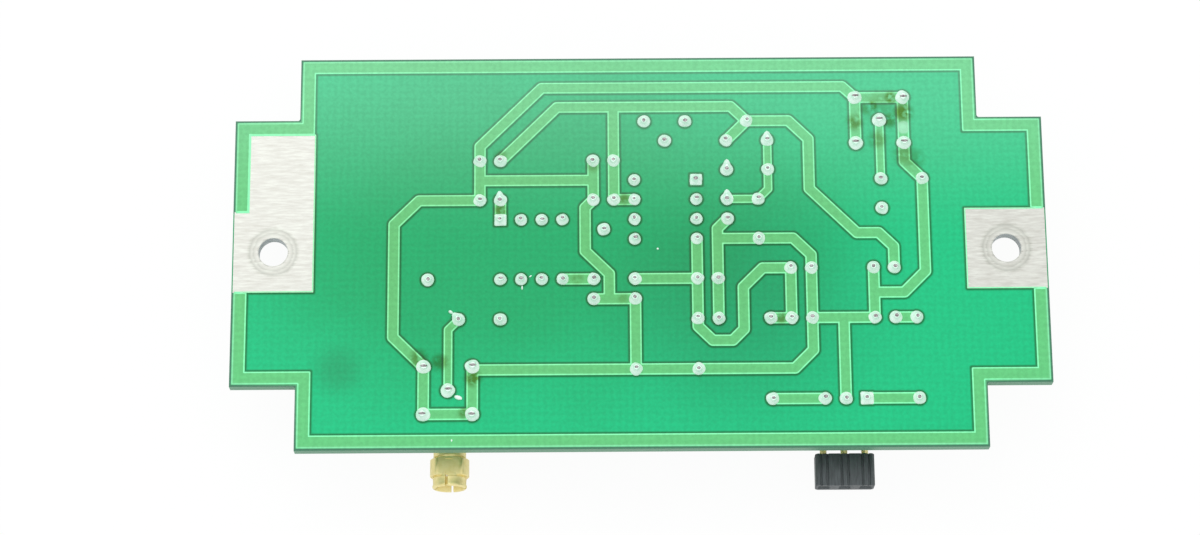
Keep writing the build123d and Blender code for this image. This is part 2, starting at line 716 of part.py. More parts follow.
def choke_body(lie):
    """Mould a choke: a plain barrel with sloped ends, along the plane's X."""
    half = choke_length / 2
    along = Axis(lie.origin, lie.x_dir)
    with BuildPart() as body:
        with BuildSketch(Plane(origin=lie.origin, z_dir=lie.x_dir)):
            RegularPolygon(choke_radius, round_sides)
        extrude(amount=half, both=True)
        ends = faces().sort_by(along)[0].edges() + faces().sort_by(along)[-1].edges()
        chamfer(ends, choke_radius / 4)
    return body


resistor_height = -axial_standoff - resistor_end_radius
choke_height = -axial_standoff - choke_radius
for number, ends in enumerate(resistors, 1):
    finish(resistor_body(axial_plane(ends, resistor_height)), f"resistor_{number}")
for number, ends in enumerate(chokes, 1):
    finish(choke_body(axial_plane(ends, choke_height)), f"choke_{number}")

standing, returning = place(*upright_resistor[1]), place(*upright_resistor[0])
standing_low = -upright_standoff - resistor_length
standing_axis = Plane(origin=standing + Vector(0, 0, standing_low + resistor_length / 2), x_dir=(0, 0, 1),
                      z_dir=(1, 0, 0))
finish(resistor_body(standing_axis), "upright_resistor")
loop_low = standing_low - 2 * lead_bend_radius
with BuildPart() as resistor_leads:
    for ends in resistors:
        add(axial_wires(ends, resistor_length, resistor_height))
    add(wire([standing + Vector(0, 0, standing_low), standing + Vector(0, 0, loop_low),
              returning + Vector(0, 0, loop_low), returning + Vector(0, 0, lead_top)], lead_bend_radius))
    with BuildSketch(Plane.XY.offset(-upright_standoff)):
        with Locations(standing):
            RegularPolygon(lead_diameter / 2, lead_sides)
    extrude(amount=upright_standoff + lead_top)
finish(resistor_leads, "resistor_leads")
with BuildPart() as choke_leads:
    for ends in chokes:
        add(axial_wires(ends, choke_length, choke_height))
finish(choke_leads, "choke_leads")


# --- Transistor ----------------------------------------------------------------
# Moulded round body with a flat, standing on three splayed leads.
outer_row = place(*transistor_pins[0]).Y
inner_row = place(*transistor_pins[1]).Y
body_place = Vector(place(*transistor).X, (outer_row + inner_row) / 2)
with BuildPart() as transistor_body:
    with BuildSketch(Plane.XY.offset(-transistor_standoff)):
        with Locations(body_place):
            Circle(transistor_radius)
        with Locations(body_place + Vector(0, transistor_flat)):
            Rectangle(4 * transistor_radius, 2 * transistor_radius, align=(Align.CENTER, Align.MIN),
                      mode=Mode.SUBTRACT)
    extrude(amount=-transistor_height)
finish(transistor_body, "transistor")
with BuildPart() as transistor_leads:
    for step, pin in zip((-1, 0, 1), transistor_pins):
        with BuildSketch(Plane.XY.offset(-transistor_standoff)):
            with Locations(body_place + Vector(step * transistor_lead_pitch, 0)):
                RegularPolygon(lead_diameter / 2, lead_sides)
        with BuildSketch(Plane.XY.offset(lead_top)):
            with Locations(place(*pin)):
                RegularPolygon(lead_diameter / 2, lead_sides)
        loft(ruled=True)
finish(transistor_leads, "transistor_leads")
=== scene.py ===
"""Interface board: the looks of a small two-sided amplifier board, lying with its solder side up.

The script follows the board as it is put together: laminate, copper, solder mask, parts, solder.
Sizes are in millimetres in the board's own frame, and turn to metres as each piece is made.
"""

import json
import math
import random

import bmesh
import bpy
import numpy as np
from mathutils import Matrix, Vector
from mathutils.geometry import delaunay_2d_cdt


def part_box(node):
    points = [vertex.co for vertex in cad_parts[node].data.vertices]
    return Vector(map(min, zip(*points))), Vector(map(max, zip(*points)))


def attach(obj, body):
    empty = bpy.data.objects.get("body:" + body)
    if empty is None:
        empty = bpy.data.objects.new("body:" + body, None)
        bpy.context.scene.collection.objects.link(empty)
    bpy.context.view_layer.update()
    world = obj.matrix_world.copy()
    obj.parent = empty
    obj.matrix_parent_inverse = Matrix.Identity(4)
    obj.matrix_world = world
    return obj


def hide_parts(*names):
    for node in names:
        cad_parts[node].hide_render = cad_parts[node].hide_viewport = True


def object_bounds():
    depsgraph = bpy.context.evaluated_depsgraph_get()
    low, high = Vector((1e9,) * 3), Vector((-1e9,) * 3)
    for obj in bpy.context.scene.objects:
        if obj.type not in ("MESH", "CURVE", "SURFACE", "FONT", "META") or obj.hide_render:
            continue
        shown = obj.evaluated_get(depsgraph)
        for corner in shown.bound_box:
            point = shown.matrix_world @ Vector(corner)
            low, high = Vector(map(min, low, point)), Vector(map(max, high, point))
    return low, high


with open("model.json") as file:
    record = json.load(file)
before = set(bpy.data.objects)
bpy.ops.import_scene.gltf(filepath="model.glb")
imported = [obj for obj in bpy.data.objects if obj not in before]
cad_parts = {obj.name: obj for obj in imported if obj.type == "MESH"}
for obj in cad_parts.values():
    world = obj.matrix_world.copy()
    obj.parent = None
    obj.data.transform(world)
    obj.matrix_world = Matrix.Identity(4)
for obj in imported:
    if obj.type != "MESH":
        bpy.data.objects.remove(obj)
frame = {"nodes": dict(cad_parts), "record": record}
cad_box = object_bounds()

nodes = frame["nodes"]


# --- Laminate ---------------------------------------------------------------------------------
# Glass-epoxy board, pressed from woven glass cloth and routed to a cross with two drilled holes.
# Both faces carry green solder mask; the routed edge is bare, greyish green and slightly fibrous.
def paint(code):
    """Turn an sRGB hex colour such as '#2FB877' into the linear colour that a socket takes."""
    parts = [int(code[i:i + 2], 16) / 255 for i in (1, 3, 5)]
    return [p / 12.92 if p <= 0.04045 else ((p + 0.055) / 1.055) ** 2.4 for p in parts] + [1.0]


def add(tree, kind, sockets=None, **settings):
    """Add one node: its settings by name, and for each socket a value, an output or a whole node."""
    node = tree.nodes.new("ShaderNode" + kind)
    for name, value in settings.items():
        setattr(node, name, value)
    for socket, value in (sockets or {}).items():
        if isinstance(value, bpy.types.Node):
            value = next(output for output in value.outputs if output.enabled)
        if isinstance(value, bpy.types.NodeSocket):
            tree.links.new(value, node.inputs[socket])
        else:
            node.inputs[socket].default_value = value
    return node


def new_finish(name):
    """Start a finish: its material, its node tree and the place on the board in millimetres."""
    material = bpy.data.materials.new(name)
    material.use_nodes = True
    tree = material.node_tree
    tree.nodes.clear()
    where = add(tree, "TexCoord").outputs["Object"]
    return material, tree, add(tree, "Mapping", {"Vector": where, "Scale": (1000, 1000, 1000)})


def colour_stops(ramp, stops):
    """Set a colour ramp's stops: position and colour of each."""
    elements = ramp.color_ramp.elements
    while len(elements) < len(stops):
        elements.new(0.5)
    for element, (position, colour) in zip(elements, stops):
        element.position = position
        element.color = paint(colour)


def close_finish(tree, colour, roughness, sockets, relief=None):
    """End a finish with its shader; relief gives the height, strength and depth of its bump."""
    if relief:
        height, strength, depth = relief
        bump = add(tree, "Bump", {"Height": height, "Strength": strength, "Distance": depth})
        sockets = {**sockets, "Normal": bump}
    shader = add(tree, "BsdfPrincipled", {"Base Color": colour, "Roughness": roughness, **sockets})
    add(tree, "OutputMaterial", {"Surface": shader})


def dress(names, material):
    """Give CAD nodes a finish."""
    for name in names:
        nodes[name].data.materials.clear()
        nodes[name].data.materials.append(material)


# Masked faces are satin green; the routed edge shows the plies of the glass as faint lines. The
# plies are about 0.2 mm thick, drawn at 0.4 mm so that they show.
laminate_finish, tree, mm = new_finish("glass_epoxy_laminate")
facing = add(tree, "SeparateXYZ", {"Vector": add(tree, "NewGeometry").outputs["Normal"]})
flat = add(tree, "Math", {0: facing.outputs["Z"]}, operation="ABSOLUTE")
is_face = add(tree, "Math", {0: flat, 1: 0.5}, operation="GREATER_THAN")
plies = add(tree, "TexWave", {"Vector": mm, "Scale": 0.8, "Distortion": 2.0, "Detail": 3.0},
            bands_direction="Z")
edge_colour = add(tree, "ValToRGB", {"Fac": plies.outputs["Fac"]})
colour_stops(edge_colour, [(0.2, "#4F8A6C"), (0.8, "#74A486")])
blotch = add(tree, "TexNoise", {"Vector": mm, "Scale": 0.12, "Detail": 4.0})
face_colour = add(tree, "ValToRGB", {"Fac": blotch})
colour_stops(face_colour, [(0.3, "#1E8F5B"), (0.7, "#2BA46C")])
colour = add(tree, "Mix", {0: is_face, 6: edge_colour, 7: face_colour}, data_type="RGBA")
# The two mounting holes are plated through: their walls are tinned like the lands.
hole_x, plated_radius = 45.0, 1.95
folded = add(tree, "VectorMath", {0: mm}, operation="ABSOLUTE")
across = add(tree, "Mapping", {"Vector": folded, "Location": (-hole_x, 0, 0), "Scale": (1, 1, 0)})
from_axis = add(tree, "VectorMath", {0: across}, operation="LENGTH")
plated = add(tree, "Math", {0: from_axis, 1: plated_radius}, operation="LESS_THAN")
colour = add(tree, "Mix", {0: plated, 6: colour, 7: paint("#B4BABC")}, data_type="RGBA")
fibres = add(tree, "TexNoise", {"Vector": mm, "Scale": 6.0, "Detail": 3.0})
close_finish(tree, colour, 0.5, {"IOR": 1.5}, (fibres, 0.15, 0.00005))
dress(["laminate"], laminate_finish)


# --- Solder-side copper under its mask --------------------------------------------------------
# Etched copper tracks and the earth band, buried under a coat of green solder mask that was
# curtain-poured and cured: it thins along each copper edge and pools beside it. The light line along
# each edge is partly that thin coat and partly a painted highlight; the dark line beside it is partly
# pooled coat and partly painted shade.
board_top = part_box("laminate")[1].z * 1000
half_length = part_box("laminate")[1].x * 1000
half_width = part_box("laminate")[1].y * 1000
mounts = {mount["name"]: mount for mount in frame["record"]["mounts"]}
pitch = 2.54
elbow_x = mounts["coax_in"]["pos_m"][0] * 1000
upright_y = mounts["coax_out"]["pos_m"][1] * 1000
first_x = elbow_x + 2.5 * pitch
first_y = upright_y - 5 * pitch


def at(column, row):
    """Place of a point of the hole grid, in millimetres."""
    return first_x + column * pitch, first_y - row * pitch


leg = 5.94 / 2 / pitch
coax_in, coax_out = (-2.5, 8.5), (18.5, -5)
track_half, signal_half, band_width, copper_gap, notch_size = 0.7, 0.525, 1.57, 0.28, 8.0
pad_radius, pin_pad_radius, leg_pad_radius = 0.77, 0.72, 0.85
in_column, in_row = coax_in
out_column, out_row = coax_out
wide_tracks = [
    [(in_column - leg, in_row - leg), (-5.15, 5.85), (-5.15, 0.2), (-3.95, -1), (-1, -1), (-1, -3.75),
     (2, -6.75), (out_column - leg - 0.6, -6.75), (out_column - leg, out_row - leg)],
    [(in_column - leg, in_row - leg), (in_column - leg, in_row + leg), (in_column + leg, in_row + leg),
     (in_column + leg, in_row - leg)],
    [(-1, -2), (4.5, -2)],
    [(4.5, -3), (4.5, -1), (4.1, -0.6), (4.1, 1.6), (5.25, 2.75), (5.25, 4)],
    [(4.5, 4), (6.5, 4), (6.5, 7.5)],
    [(in_column + leg, in_row - leg), (-1.1, 7.5), (14.1, 7.5), (15, 6.6), (15, 1.85), (14.15, 1), (10.5, 1)],
    [(11, 0), (10.5, 0.5), (10.5, 5)], [(15, 5), (18, 5)], [(16.5, 5), (16.5, 9)], [(18, 2.5), (18, 5)],
    [(18, 3.75), (19.45, 3.75), (20.5, 2.7), (20.5, -2), (out_column + leg, -2.85),
     (out_column + leg, out_row - leg), (out_column - leg, out_row - leg), (out_column - leg, out_row + leg)],
    [(0, -3), (2.75, -5.75), (11.25, -5.75), (12, -5), (11, -4)], [(5.5, -5.75), (5.5, -1), (6.5, -1)],
    [(12, -5), (14.05, -5), (15, -4.05), (15, -1.5), (17.25, 0.75), (18.3, 0.75), (19, 1.45), (19, 2.5)],
    [(6.5, 3), (9.5, 3)],
    [(9.5, 1), (9.5, 5.4), (10.2, 6.1), (11.15, 6.1), (11.7, 5.55), (11.7, 3.45), (12.65, 2.5), (14, 2.5),
     (14, 5), (13, 5)],
    [(0, -1), (0, 0)], [(3, 3), (4.5, 3)], [(19, 5), (20, 5)], [(13, 9), (15.5, 9)], [(17.5, 9), (20, 9)],
]
slim_tracks = [[coax_in, (in_column, 5.5), (-2, 5)], [coax_out, (out_column, -2)],
               [(13, -4), (13, -1.5), (12.5, -1), (11, -1)]]


def legs_around(centre):
    """Grid points of the four legs of a coaxial connector."""
    return [(centre[0] + i * leg, centre[1] + j * leg) for i in (-1, 1) for j in (-1, 1)]


joints = {
    "solder_amplifier_a": ([(i, j) for i in range(4) for j in (0, 3)], pin_pad_radius),
    "solder_amplifier_b": ([(9.5 - j, i - 2) for i in range(4) for j in (0, 3)], pin_pad_radius),
    "solder_capacitors": ([
        (-1, -3), (0, -3), (-1, -1), (0, -1), (4.5, -3), (5.5, -3), (4.5, -1), (5.5, -1), (4.5, 3), (4.5, 4),
        (6.5, 3), (6.5, 4), (9.5, 3), (10.5, 3), (9.5, 5), (10.5, 5), (14, 2.5), (15, 2.5), (18, 2.5),
        (19, 2.5), (11, -1), (11, 0), (14, 5), (15, 5), (18, 5), (19, 5)], pad_radius),
    "solder_resistors": ([(11, -4), (13, -4), (11, -2.5), (13, -2.5), (-2, 5), (0, 5), (12.5, -1), (12.5, 1),
                          (13, 5), (13, 9), (20, 5), (20, 9), (18.5, -2), (18.5, -0.5)], pad_radius),
    "solder_transistor": ([(7, -5), (8, -4), (9, -5)], pad_radius),
    "solder_socket": ([(15.5, 9), (16.5, 9), (17.5, 9)], pad_radius),
    "solder_feedthroughs": ([(12, -5), (20.5, -2), (5, 0.5), (-3.5, 3), (6.5, 7.5), (9.5, 7.5)], pad_radius),
    "solder_coax_in": (legs_around(coax_in) + [coax_in], leg_pad_radius),
    "solder_coax_out": (legs_around(coax_out) + [coax_out], leg_pad_radius),
}
square_pads = [(0, 0), (9.5, -2), (17.5, 9)]


def box_distance(x, y, x0, x1, y0, y1):
    """Signed distance from points to a rectangle."""
    u = np.maximum(x0 - x, x - x1)
    v = np.maximum(y0 - y, y - y1)
    return np.where((u > 0) & (v > 0), np.hypot(np.maximum(u, 0), np.maximum(v, 0)), np.maximum(u, v))


def outline_distance(x, y, inset, radius):
    """Signed distance to the cross-shaped outline, set back by an inset, its inner corners rounded."""
    u = np.abs(x) - (half_length - notch_size - inset)
    v = np.abs(y) - (half_width - notch_size - inset)
    notch = np.where((u < radius) & (v < radius), radius - np.hypot(u - radius, v - radius), np.minimum(u, v))
    return np.maximum(notch, np.maximum(np.abs(x) - half_length + inset, np.abs(y) - half_width + inset))


land_start, land_half = half_length - 10, 5.15
band_inset = copper_gap + band_width
lands = [(land_start, half_length - copper_gap, -land_half, land_half),
         (copper_gap - half_length, -land_start, -land_half, land_half),
         (band_inset - half_length, -land_start, 0, half_width - notch_size - band_inset)]


# All copper but the band: runs from point to point with half a width, and rectangles.
runs = [(at(*start), at(*end), half)
        for tracks, half in ((wide_tracks, track_half), (slim_tracks, signal_half))
        for corners in tracks for start, end in zip(corners, corners[1:])]
plates = list(lands)
for points, radius in joints.values():
    for point in points:
        x, y = at(*point)
        if point in square_pads:
            plates.append((x - radius, x + radius, y - radius, y + radius))
        else:
            runs.append(((x, y), (x, y), radius))


def copper_distance(x, y):
    """Signed distance from points to the nearest copper edge: below zero over copper."""
    far = 3.0
    nearest = np.full(x.shape, far)

    def near(x0, x1, y0, y1):
        """The points at which a shape within these limits can matter."""
        return (x > x0 - far) & (x < x1 + far) & (y > y0 - far) & (y < y1 + far)

    for (ax, ay), (bx, by), half in runs:
        close = near(min(ax, bx), max(ax, bx), min(ay, by), max(ay, by))
        px, py = x[close] - ax, y[close] - ay
        along_x, along_y = bx - ax, by - ay
        share = (px * along_x + py * along_y) / max(along_x ** 2 + along_y ** 2, 1e-9)
        share = np.clip(share, 0, 1)
        away = np.hypot(px - share * along_x, py - share * along_y) - half
        nearest[close] = np.minimum(nearest[close], away)
    for plate in plates:
        close = near(*plate)
        nearest[close] = np.minimum(nearest[close], box_distance(x[close], y[close], *plate))
    band = np.maximum(outline_distance(x, y, copper_gap, 0.0), -outline_distance(x, y, band_inset, 0.0))
    beyond = half_length + 9
    for x0, x1 in ((-beyond, -land_start), (land_start, beyond)):
        band = np.maximum(band, -box_distance(x, y, x0, x1, -land_half, land_half))
    return np.minimum(nearest, band)


def level_lines(field, level, x_values, y_values, tolerance=0.008):
    """Lines of one level across a field sampled on a grid, thinned to few points."""
    above = field > level
    mixed = above[:-1, :-1].astype(int) + above[1:, :-1] + above[:-1, 1:] + above[1:, 1:]
    links = {}

    def crossing(i0, j0, i1, j1):
        """Where the level crosses one side of a cell; the key names the side."""
        share = (level - field[i0, j0]) / (field[i1, j1] - field[i0, j0])
        return ((i0, j0, i1, j1), (x_values[i0] + share * (x_values[i1] - x_values[i0]),
                                   y_values[j0] + share * (y_values[j1] - y_values[j0])))

    places = {}
    for i, j in zip(*np.nonzero((mixed > 0) & (mixed < 4))):
        ends = []
        for i0, j0, i1, j1 in ((i, j, i + 1, j), (i, j, i, j + 1), (i + 1, j, i + 1, j + 1),
                               (i, j + 1, i + 1, j + 1)):
            if above[i0, j0] != above[i1, j1]:
                key, point = crossing(i0, j0, i1, j1)
                places[key] = point
                ends.append(key)
        for a, b in zip(ends[::2], ends[1::2]):
            links.setdefault(a, []).append(b)
            links.setdefault(b, []).append(a)
    lines = []
    while links:
        start = next((key for key, others in links.items() if len(others) == 1), next(iter(links)))
        chain = [start]
        while links.get(chain[-1]):
            here = chain[-1]
            there = links[here].pop()
            links[there].remove(here)
            if not links[here]:
                del links[here]
            chain.append(there)
        if chain[-1] in links and not links[chain[-1]]:
            del links[chain[-1]]
        lines.append([places[key] for key in chain])

    def thin(points):
        """Keep only the points that the line needs."""
        keep = [0, len(points) - 1]
        work = [(0, len(points) - 1)]
        line = np.array(points)
        while work:
            first, last = work.pop()
            if last - first < 2:
                continue
            run = line[last] - line[first]
            offset = line[first + 1:last] - line[first]
            size = np.hypot(*run)
            gap = np.hypot(*offset.T)
            if size > 1e-9:
                gap = np.abs(run[0] * offset[:, 1] - run[1] * offset[:, 0]) / size
            worst = int(np.argmax(gap))
            if gap[worst] > tolerance:
                middle = first + 1 + worst
                keep.append(middle)
                work += [(first, middle), (middle, last)]
        return [points[k] for k in sorted(set(keep))]

    return [thin(line) for line in lines if len(line) > 2]


step = 0.1
x_values = np.arange(-half_length, half_length + step / 2, step)
y_values = np.arange(-half_width, half_width + step / 2, step)
field = copper_distance(*np.meshgrid(x_values, y_values, indexing="ij"))
mask_lap = 0.13
fillet = 0.3
body_end, tab_side = half_length - notch_size, half_width - notch_size
opening = land_half - mask_lap
lap_start = land_start + mask_lap
strip_start, strip_side = half_length - band_inset - mask_lap, tab_side - band_inset - mask_lap


def notch(sign_x, sign_y, step):
    """One rounded inner corner of the outline; a step of -1 runs through it backward."""
    turns = [k * math.pi / 12 for k in range(7)]
    return [(sign_x * (body_end + fillet - fillet * math.cos(turn)),
             sign_y * (tab_side + fillet - fillet * math.sin(turn))) for turn in turns][::step]


outline = [
    (body_end, half_width), (-body_end, half_width), *notch(-1, 1, 1), (-half_length, tab_side),
    (-half_length, opening), (-strip_start, opening), (-strip_start, strip_side), (-lap_start, strip_side),
    (-lap_start, -opening), (-half_length, -opening), (-half_length, -tab_side), *notch(-1, -1, -1),
    (-body_end, -half_width), (body_end, -half_width), *notch(1, -1, 1), (half_length, -tab_side),
    (half_length, -opening), (lap_start, -opening), (lap_start, opening), (half_length, opening),
    (half_length, tab_side), *notch(1, 1, -1)]

# The coat's profile across a copper edge: distance from the edge and height above the laminate.
coat_profile = [(-0.42, 0.088), (-0.30, 0.090), (-0.17, 0.094), (-0.07, 0.084), (0.05, 0.046),
                (0.20, 0.032), (0.36, 0.030)]
plan = [Vector(point) for point in outline]
plan_edges = []
for level, _ in coat_profile:
    for line in level_lines(field, level, x_values, y_values):
        base = len(plan)
        plan += [Vector(point) for point in line]
        plan_edges += [(base + k, base + k + 1) for k in range(len(line) - 1)]
flat_plan, _, flat_faces, _, _, inside = delaunay_2d_cdt(plan, plan_edges, [list(range(len(outline)))],
                                                         1, 1e-4)
flat_faces = [corners for corners, within in zip(flat_faces, inside) if within]
plan_x, plan_y = np.array([p.x for p in flat_plan]), np.array([p.y for p in flat_plan])
edge_distance = copper_distance(plan_x, plan_y)
rim_distance = -outline_distance(plan_x, plan_y, 0.0, fillet)
# The coat draws back by 0.02 mm over the last 0.1 mm of the rim.
coat_height = np.interp(edge_distance, *zip(*coat_profile))
coat_height -= 0.02 * np.clip(1 - rim_distance / 0.1, 0, 1)


def new_piece(name, bm, finishes, replaced=()):
    """Turn a mesh drawn in millimetres into a piece of the board."""
    bmesh.ops.scale(bm, vec=(0.001, 0.001, 0.001), verts=bm.verts)
    bmesh.ops.recalc_face_normals(bm, faces=bm.faces)
    for face in bm.faces:
        face.smooth = True
    mesh = bpy.data.meshes.new(name)
    bm.to_mesh(mesh)
    bm.free()
    mesh.set_sharp_from_angle(angle=math.radians(38))
    piece = bpy.data.objects.new(name, mesh)
    bpy.context.scene.collection.objects.link(piece)
    for finish in finishes:
        mesh.materials.append(finish)
    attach(piece, "root")
    if replaced:
        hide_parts(*replaced)
    return piece


bm = bmesh.new()
from_copper = bm.verts.layers.float.new("from_copper")
from_rim = bm.verts.layers.float.new("from_rim")
for point, height, to_copper, to_rim in zip(flat_plan, coat_height, edge_distance, rim_distance):
    vert = bm.verts.new((point.x, point.y, board_top + height))
    vert[from_copper] = to_copper
    vert[from_rim] = to_rim
bm.verts.ensure_lookup_table()
for corners in flat_faces:
    bm.faces.new([bm.verts[k] for k in corners])
bmesh.ops.delete(bm, geom=[v for v in bm.verts if not v.link_faces], context="VERTS")
# Close the sheet: a wall down its rim and one face under it.
rim = [edge for edge in bm.edges if len(edge.link_faces) == 1]
lower, following = {}, {}
for vert in dict.fromkeys(vert for edge in rim for vert in edge.verts):
    lower[vert] = bm.verts.new((vert.co.x, vert.co.y, board_top + 0.002))
    lower[vert][from_copper] = vert[from_copper]
for edge in rim:
    loop = edge.link_loops[0]
    a, b = loop.vert, loop.link_loop_next.vert
    bm.faces.new([b, a, lower[a], lower[b]])
    following[lower[b]] = lower[a]
ring = [next(iter(following))]
while following[ring[-1]] != ring[0]:
    ring.append(following[ring[-1]])
bm.faces.new(ring)

# The coat is emerald over laminate and a paler, yellower green over copper, with a light line just
# inside each copper edge (thin coat and a painted highlight) and a dark one beside it (pooled coat and
# painted shade). Painted light makes it brighter toward the board's edges, a painted sheen makes it
# paler along its far side, and the glass weave shows through as a faint grid.
mask_finish, tree, mm = new_finish("green_solder_mask")
distance = add(tree, "Attribute", attribute_name="from_copper").outputs["Fac"]
ramp_place = add(tree, "MapRange", {"Value": distance, "From Min": -0.6, "From Max": 0.6})
# Ramp across a copper edge: copper, the painted highlight line, the painted shade line, bare coat.
coat_with_painted_edge_lines = add(tree, "ValToRGB", {"Fac": ramp_place})
colour_stops(coat_with_painted_edge_lines, [(0.0, "#62BC72"), (0.34, "#62BC72"), (0.41, "#90F6AE"), (0.47, "#8AF0A8"),
                         (0.53, "#1E8A50"), (0.57, "#06602C"), (0.66, "#0A743E"), (0.82, "#0CAA68"),
                         (0.94, "#0EB474")])
# Painted light: brighter away from the middle, a little unevenly, and less so over copper, standing in
# for light that falls more on the board's edges than on its middle.
large = add(tree, "TexNoise", {"Vector": mm, "Scale": 0.05, "Detail": 2.0})
outward = add(tree, "Mapping", {"Vector": mm, "Location": (0.30, -0.17, 0), "Scale": (1 / 46, 1 / 24, 0)})
spread = add(tree, "VectorMath", {0: outward}, operation="LENGTH")
uneven = add(tree, "MapRange", {"Value": large, "From Min": 0.3, "From Max": 0.7, "To Min": -0.14,
                                "To Max": 0.14})
spread = add(tree, "Math", {0: spread, 1: uneven}, operation="ADD")
edge_light_painted = add(tree, "MapRange", {"Value": spread, "From Min": 0.35, "From Max": 1.25},
                  interpolation_type="SMOOTHSTEP")
less_on_copper = add(tree, "MapRange", {"Value": distance, "From Min": -0.1, "From Max": 0.2, "To Min": 0.35})
edge_light_painted = add(tree, "Math", {0: edge_light_painted, 1: less_on_copper}, operation="MULTIPLY")
# Painted shade: darker right of the middle, mostly where there is no copper under the coat.
off_middle = add(tree, "Mapping", {"Vector": mm, "Location": (-0.68, 0.45, 0), "Scale": (1 / 19, 1 / 17, 0)})
shade_right_of_middle = add(tree, "VectorMath", {0: off_middle}, operation="LENGTH")
shade_right_of_middle = add(tree, "MapRange", {"Value": shade_right_of_middle, "From Min": 1.2, "From Max": 0.1},
              interpolation_type="SMOOTHSTEP")
off_copper = add(tree, "MapRange", {"Value": distance, "From Min": 0.0, "From Max": 0.1, "To Min": 0.12})
shade_right_of_middle = add(tree, "Math", {0: shade_right_of_middle, 1: off_copper}, operation="MULTIPLY")
# Painted sheen: paler toward the far side, where the glossy coat mirrors the bright tent.
place = add(tree, "SeparateXYZ", {"Vector": mm})
far_side_sheen = add(tree, "MapRange", {"Value": place.outputs["Y"], "From Min": 0.0, "From Max": 24.0,
                                  "To Max": 0.2}, interpolation_type="SMOOTHSTEP")
# Along the rim: within 0.6 mm of it the painted edge lines are half blended to a plain pale green, and within
# 0.27 mm of it a painted dark line stands in for the shade at the board's edge.
to_rim = add(tree, "Attribute", attribute_name="from_rim").outputs["Fac"]
near_rim = add(tree, "MapRange", {"Value": to_rim, "From Min": 0.6, "From Max": 0.42, "To Max": 0.5})
rim_painted_shade = add(tree, "MapRange", {"Value": to_rim, "From Min": 0.27, "From Max": 0.19, "To Max": 0.95})


def soft_patch(centre, outer, inner, depth):
    """A round patch of the board, at full depth inside one radius and gone at another."""
    away = add(tree, "VectorMath", {0: mm, 1: (*centre, board_top)}, operation="DISTANCE")
    return add(tree, "MapRange", {"Value": away, "From Min": outer, "From Max": inner, "To Max": depth},
               interpolation_type="SMOOTHSTEP")


# Beside one joint of the outgoing connector the coat has worn thin over its track.
on_copper = add(tree, "MapRange", {"Value": distance, "From Min": 0.0, "From Max": -0.08})
worn = add(tree, "Math", {0: soft_patch(at(19.68, -4.62), 1.0, 0.65, 0.8), 1: on_copper},
           operation="MULTIPLY")
# Flux left round some joints has browned the coat: place on the grid, size and depth of each stain.
flux_stains = [((19.65, -5.4), 1.4, 1.0), ((19.1, -6.15), 1.0, 1.0), ((17.3, -4.9), 1.2, 0.8),
               ((18.5, -5.7), 2.2, 0.4), ((18.2, -5.75), 0.8, 1.0), ((20.1, -3.0), 1.6, 0.5),
               ((19.0, -5.0), 1.2, 0.8), ((18.4, -4.0), 1.3, 0.6), ((19.7, -3.2), 1.6, 0.6),
               ((17.9, -5.6), 1.0, 0.6), ((-2.9, 7.1), 1.2, 0.8), ((-3.9, 6.9), 1.3, 0.8),
               ((-1.3, 7.9), 1.2, 1.0), ((-1.7, 9.6), 0.9, 0.8), ((0.0, -0.5), 0.9, 0.9),
               ((6.0, -1.0), 0.9, 0.8), ((5.9, 4.0), 0.8, 0.4), ((13.5, 5.0), 0.9, 0.8),
               ((0.0, -3.3), 0.9, 0.5), ((4.5, -2.7), 0.9, 0.5), ((3.7, 3.0), 0.8, 0.5)]
stained = 0.0
for point, size, depth in flux_stains:
    one = soft_patch(at(*point), size * 1.25, size * 0.3, depth)
    stained = add(tree, "Math", {0: stained, 1: one}, operation="MAXIMUM")
patchy = add(tree, "TexNoise", {"Vector": mm, "Scale": 1.1, "Detail": 3.0})
patches = add(tree, "MapRange", {"Value": patchy, "From Min": 0.32, "From Max": 0.5})
stained = add(tree, "Math", {0: stained, 1: patches}, operation="MULTIPLY")
# A greasy patch near the lower left corner has darkened it.
greasy = soft_patch((-36.8, -15.0), 4.4, 0.6, 0.6)
# Glass cloth of about 0.6 mm thread spacing, drawn at 0.9 mm so that it shows.
threads = [add(tree, "TexWave", {"Vector": mm, "Scale": 0.35, "Distortion": 1.5, "Detail": 2.0},
               bands_direction=way).outputs["Fac"] for way in "XY"]
weave = add(tree, "Math", {0: threads[0], 1: threads[1]}, operation="ADD")
fine = add(tree, "TexNoise", {"Vector": mm, "Scale": 2.6, "Detail": 3.0})
texture = add(tree, "Math", {0: fine, 1: 8.0, 2: weave}, operation="MULTIPLY_ADD")
shade = add(tree, "MapRange", {"Value": texture, "From Min": 3.4, "From Max": 6.6, "To Min": 0.93,
                               "To Max": 1.07})
toned = coat_with_painted_edge_lines
for share, blend, tint in (
        (edge_light_painted, "MULTIPLY", (1.05, 1.38, 1.65, 1.0)), (shade_right_of_middle, "MULTIPLY", (1.0, 0.74, 0.72, 1.0)),
        (far_side_sheen, "MIX", paint("#A8E8CC")), (near_rim, "MIX", paint("#7CCB94")),
        (rim_painted_shade, "MIX", paint("#44785F")), (worn, "MIX", paint("#A4E4BE")),
        (stained, "MULTIPLY", paint("#A8A04C")), (greasy, "MIX", paint("#1A9560")), (1.0, "MULTIPLY", shade)):
    toned = add(tree, "Mix", {0: share, 6: toned, 7: tint}, data_type="RGBA", blend_type=blend)
close_finish(tree, toned, 0.38, {"IOR": 1.5, "Specular IOR Level": 0.25}, (texture, 0.2, 0.00001))
new_piece("solder_mask", bm, [mask_finish],
          ["earth_copper", "positive_copper", "negative_copper", "signal_copper", "earth_band", "lone_pads"])


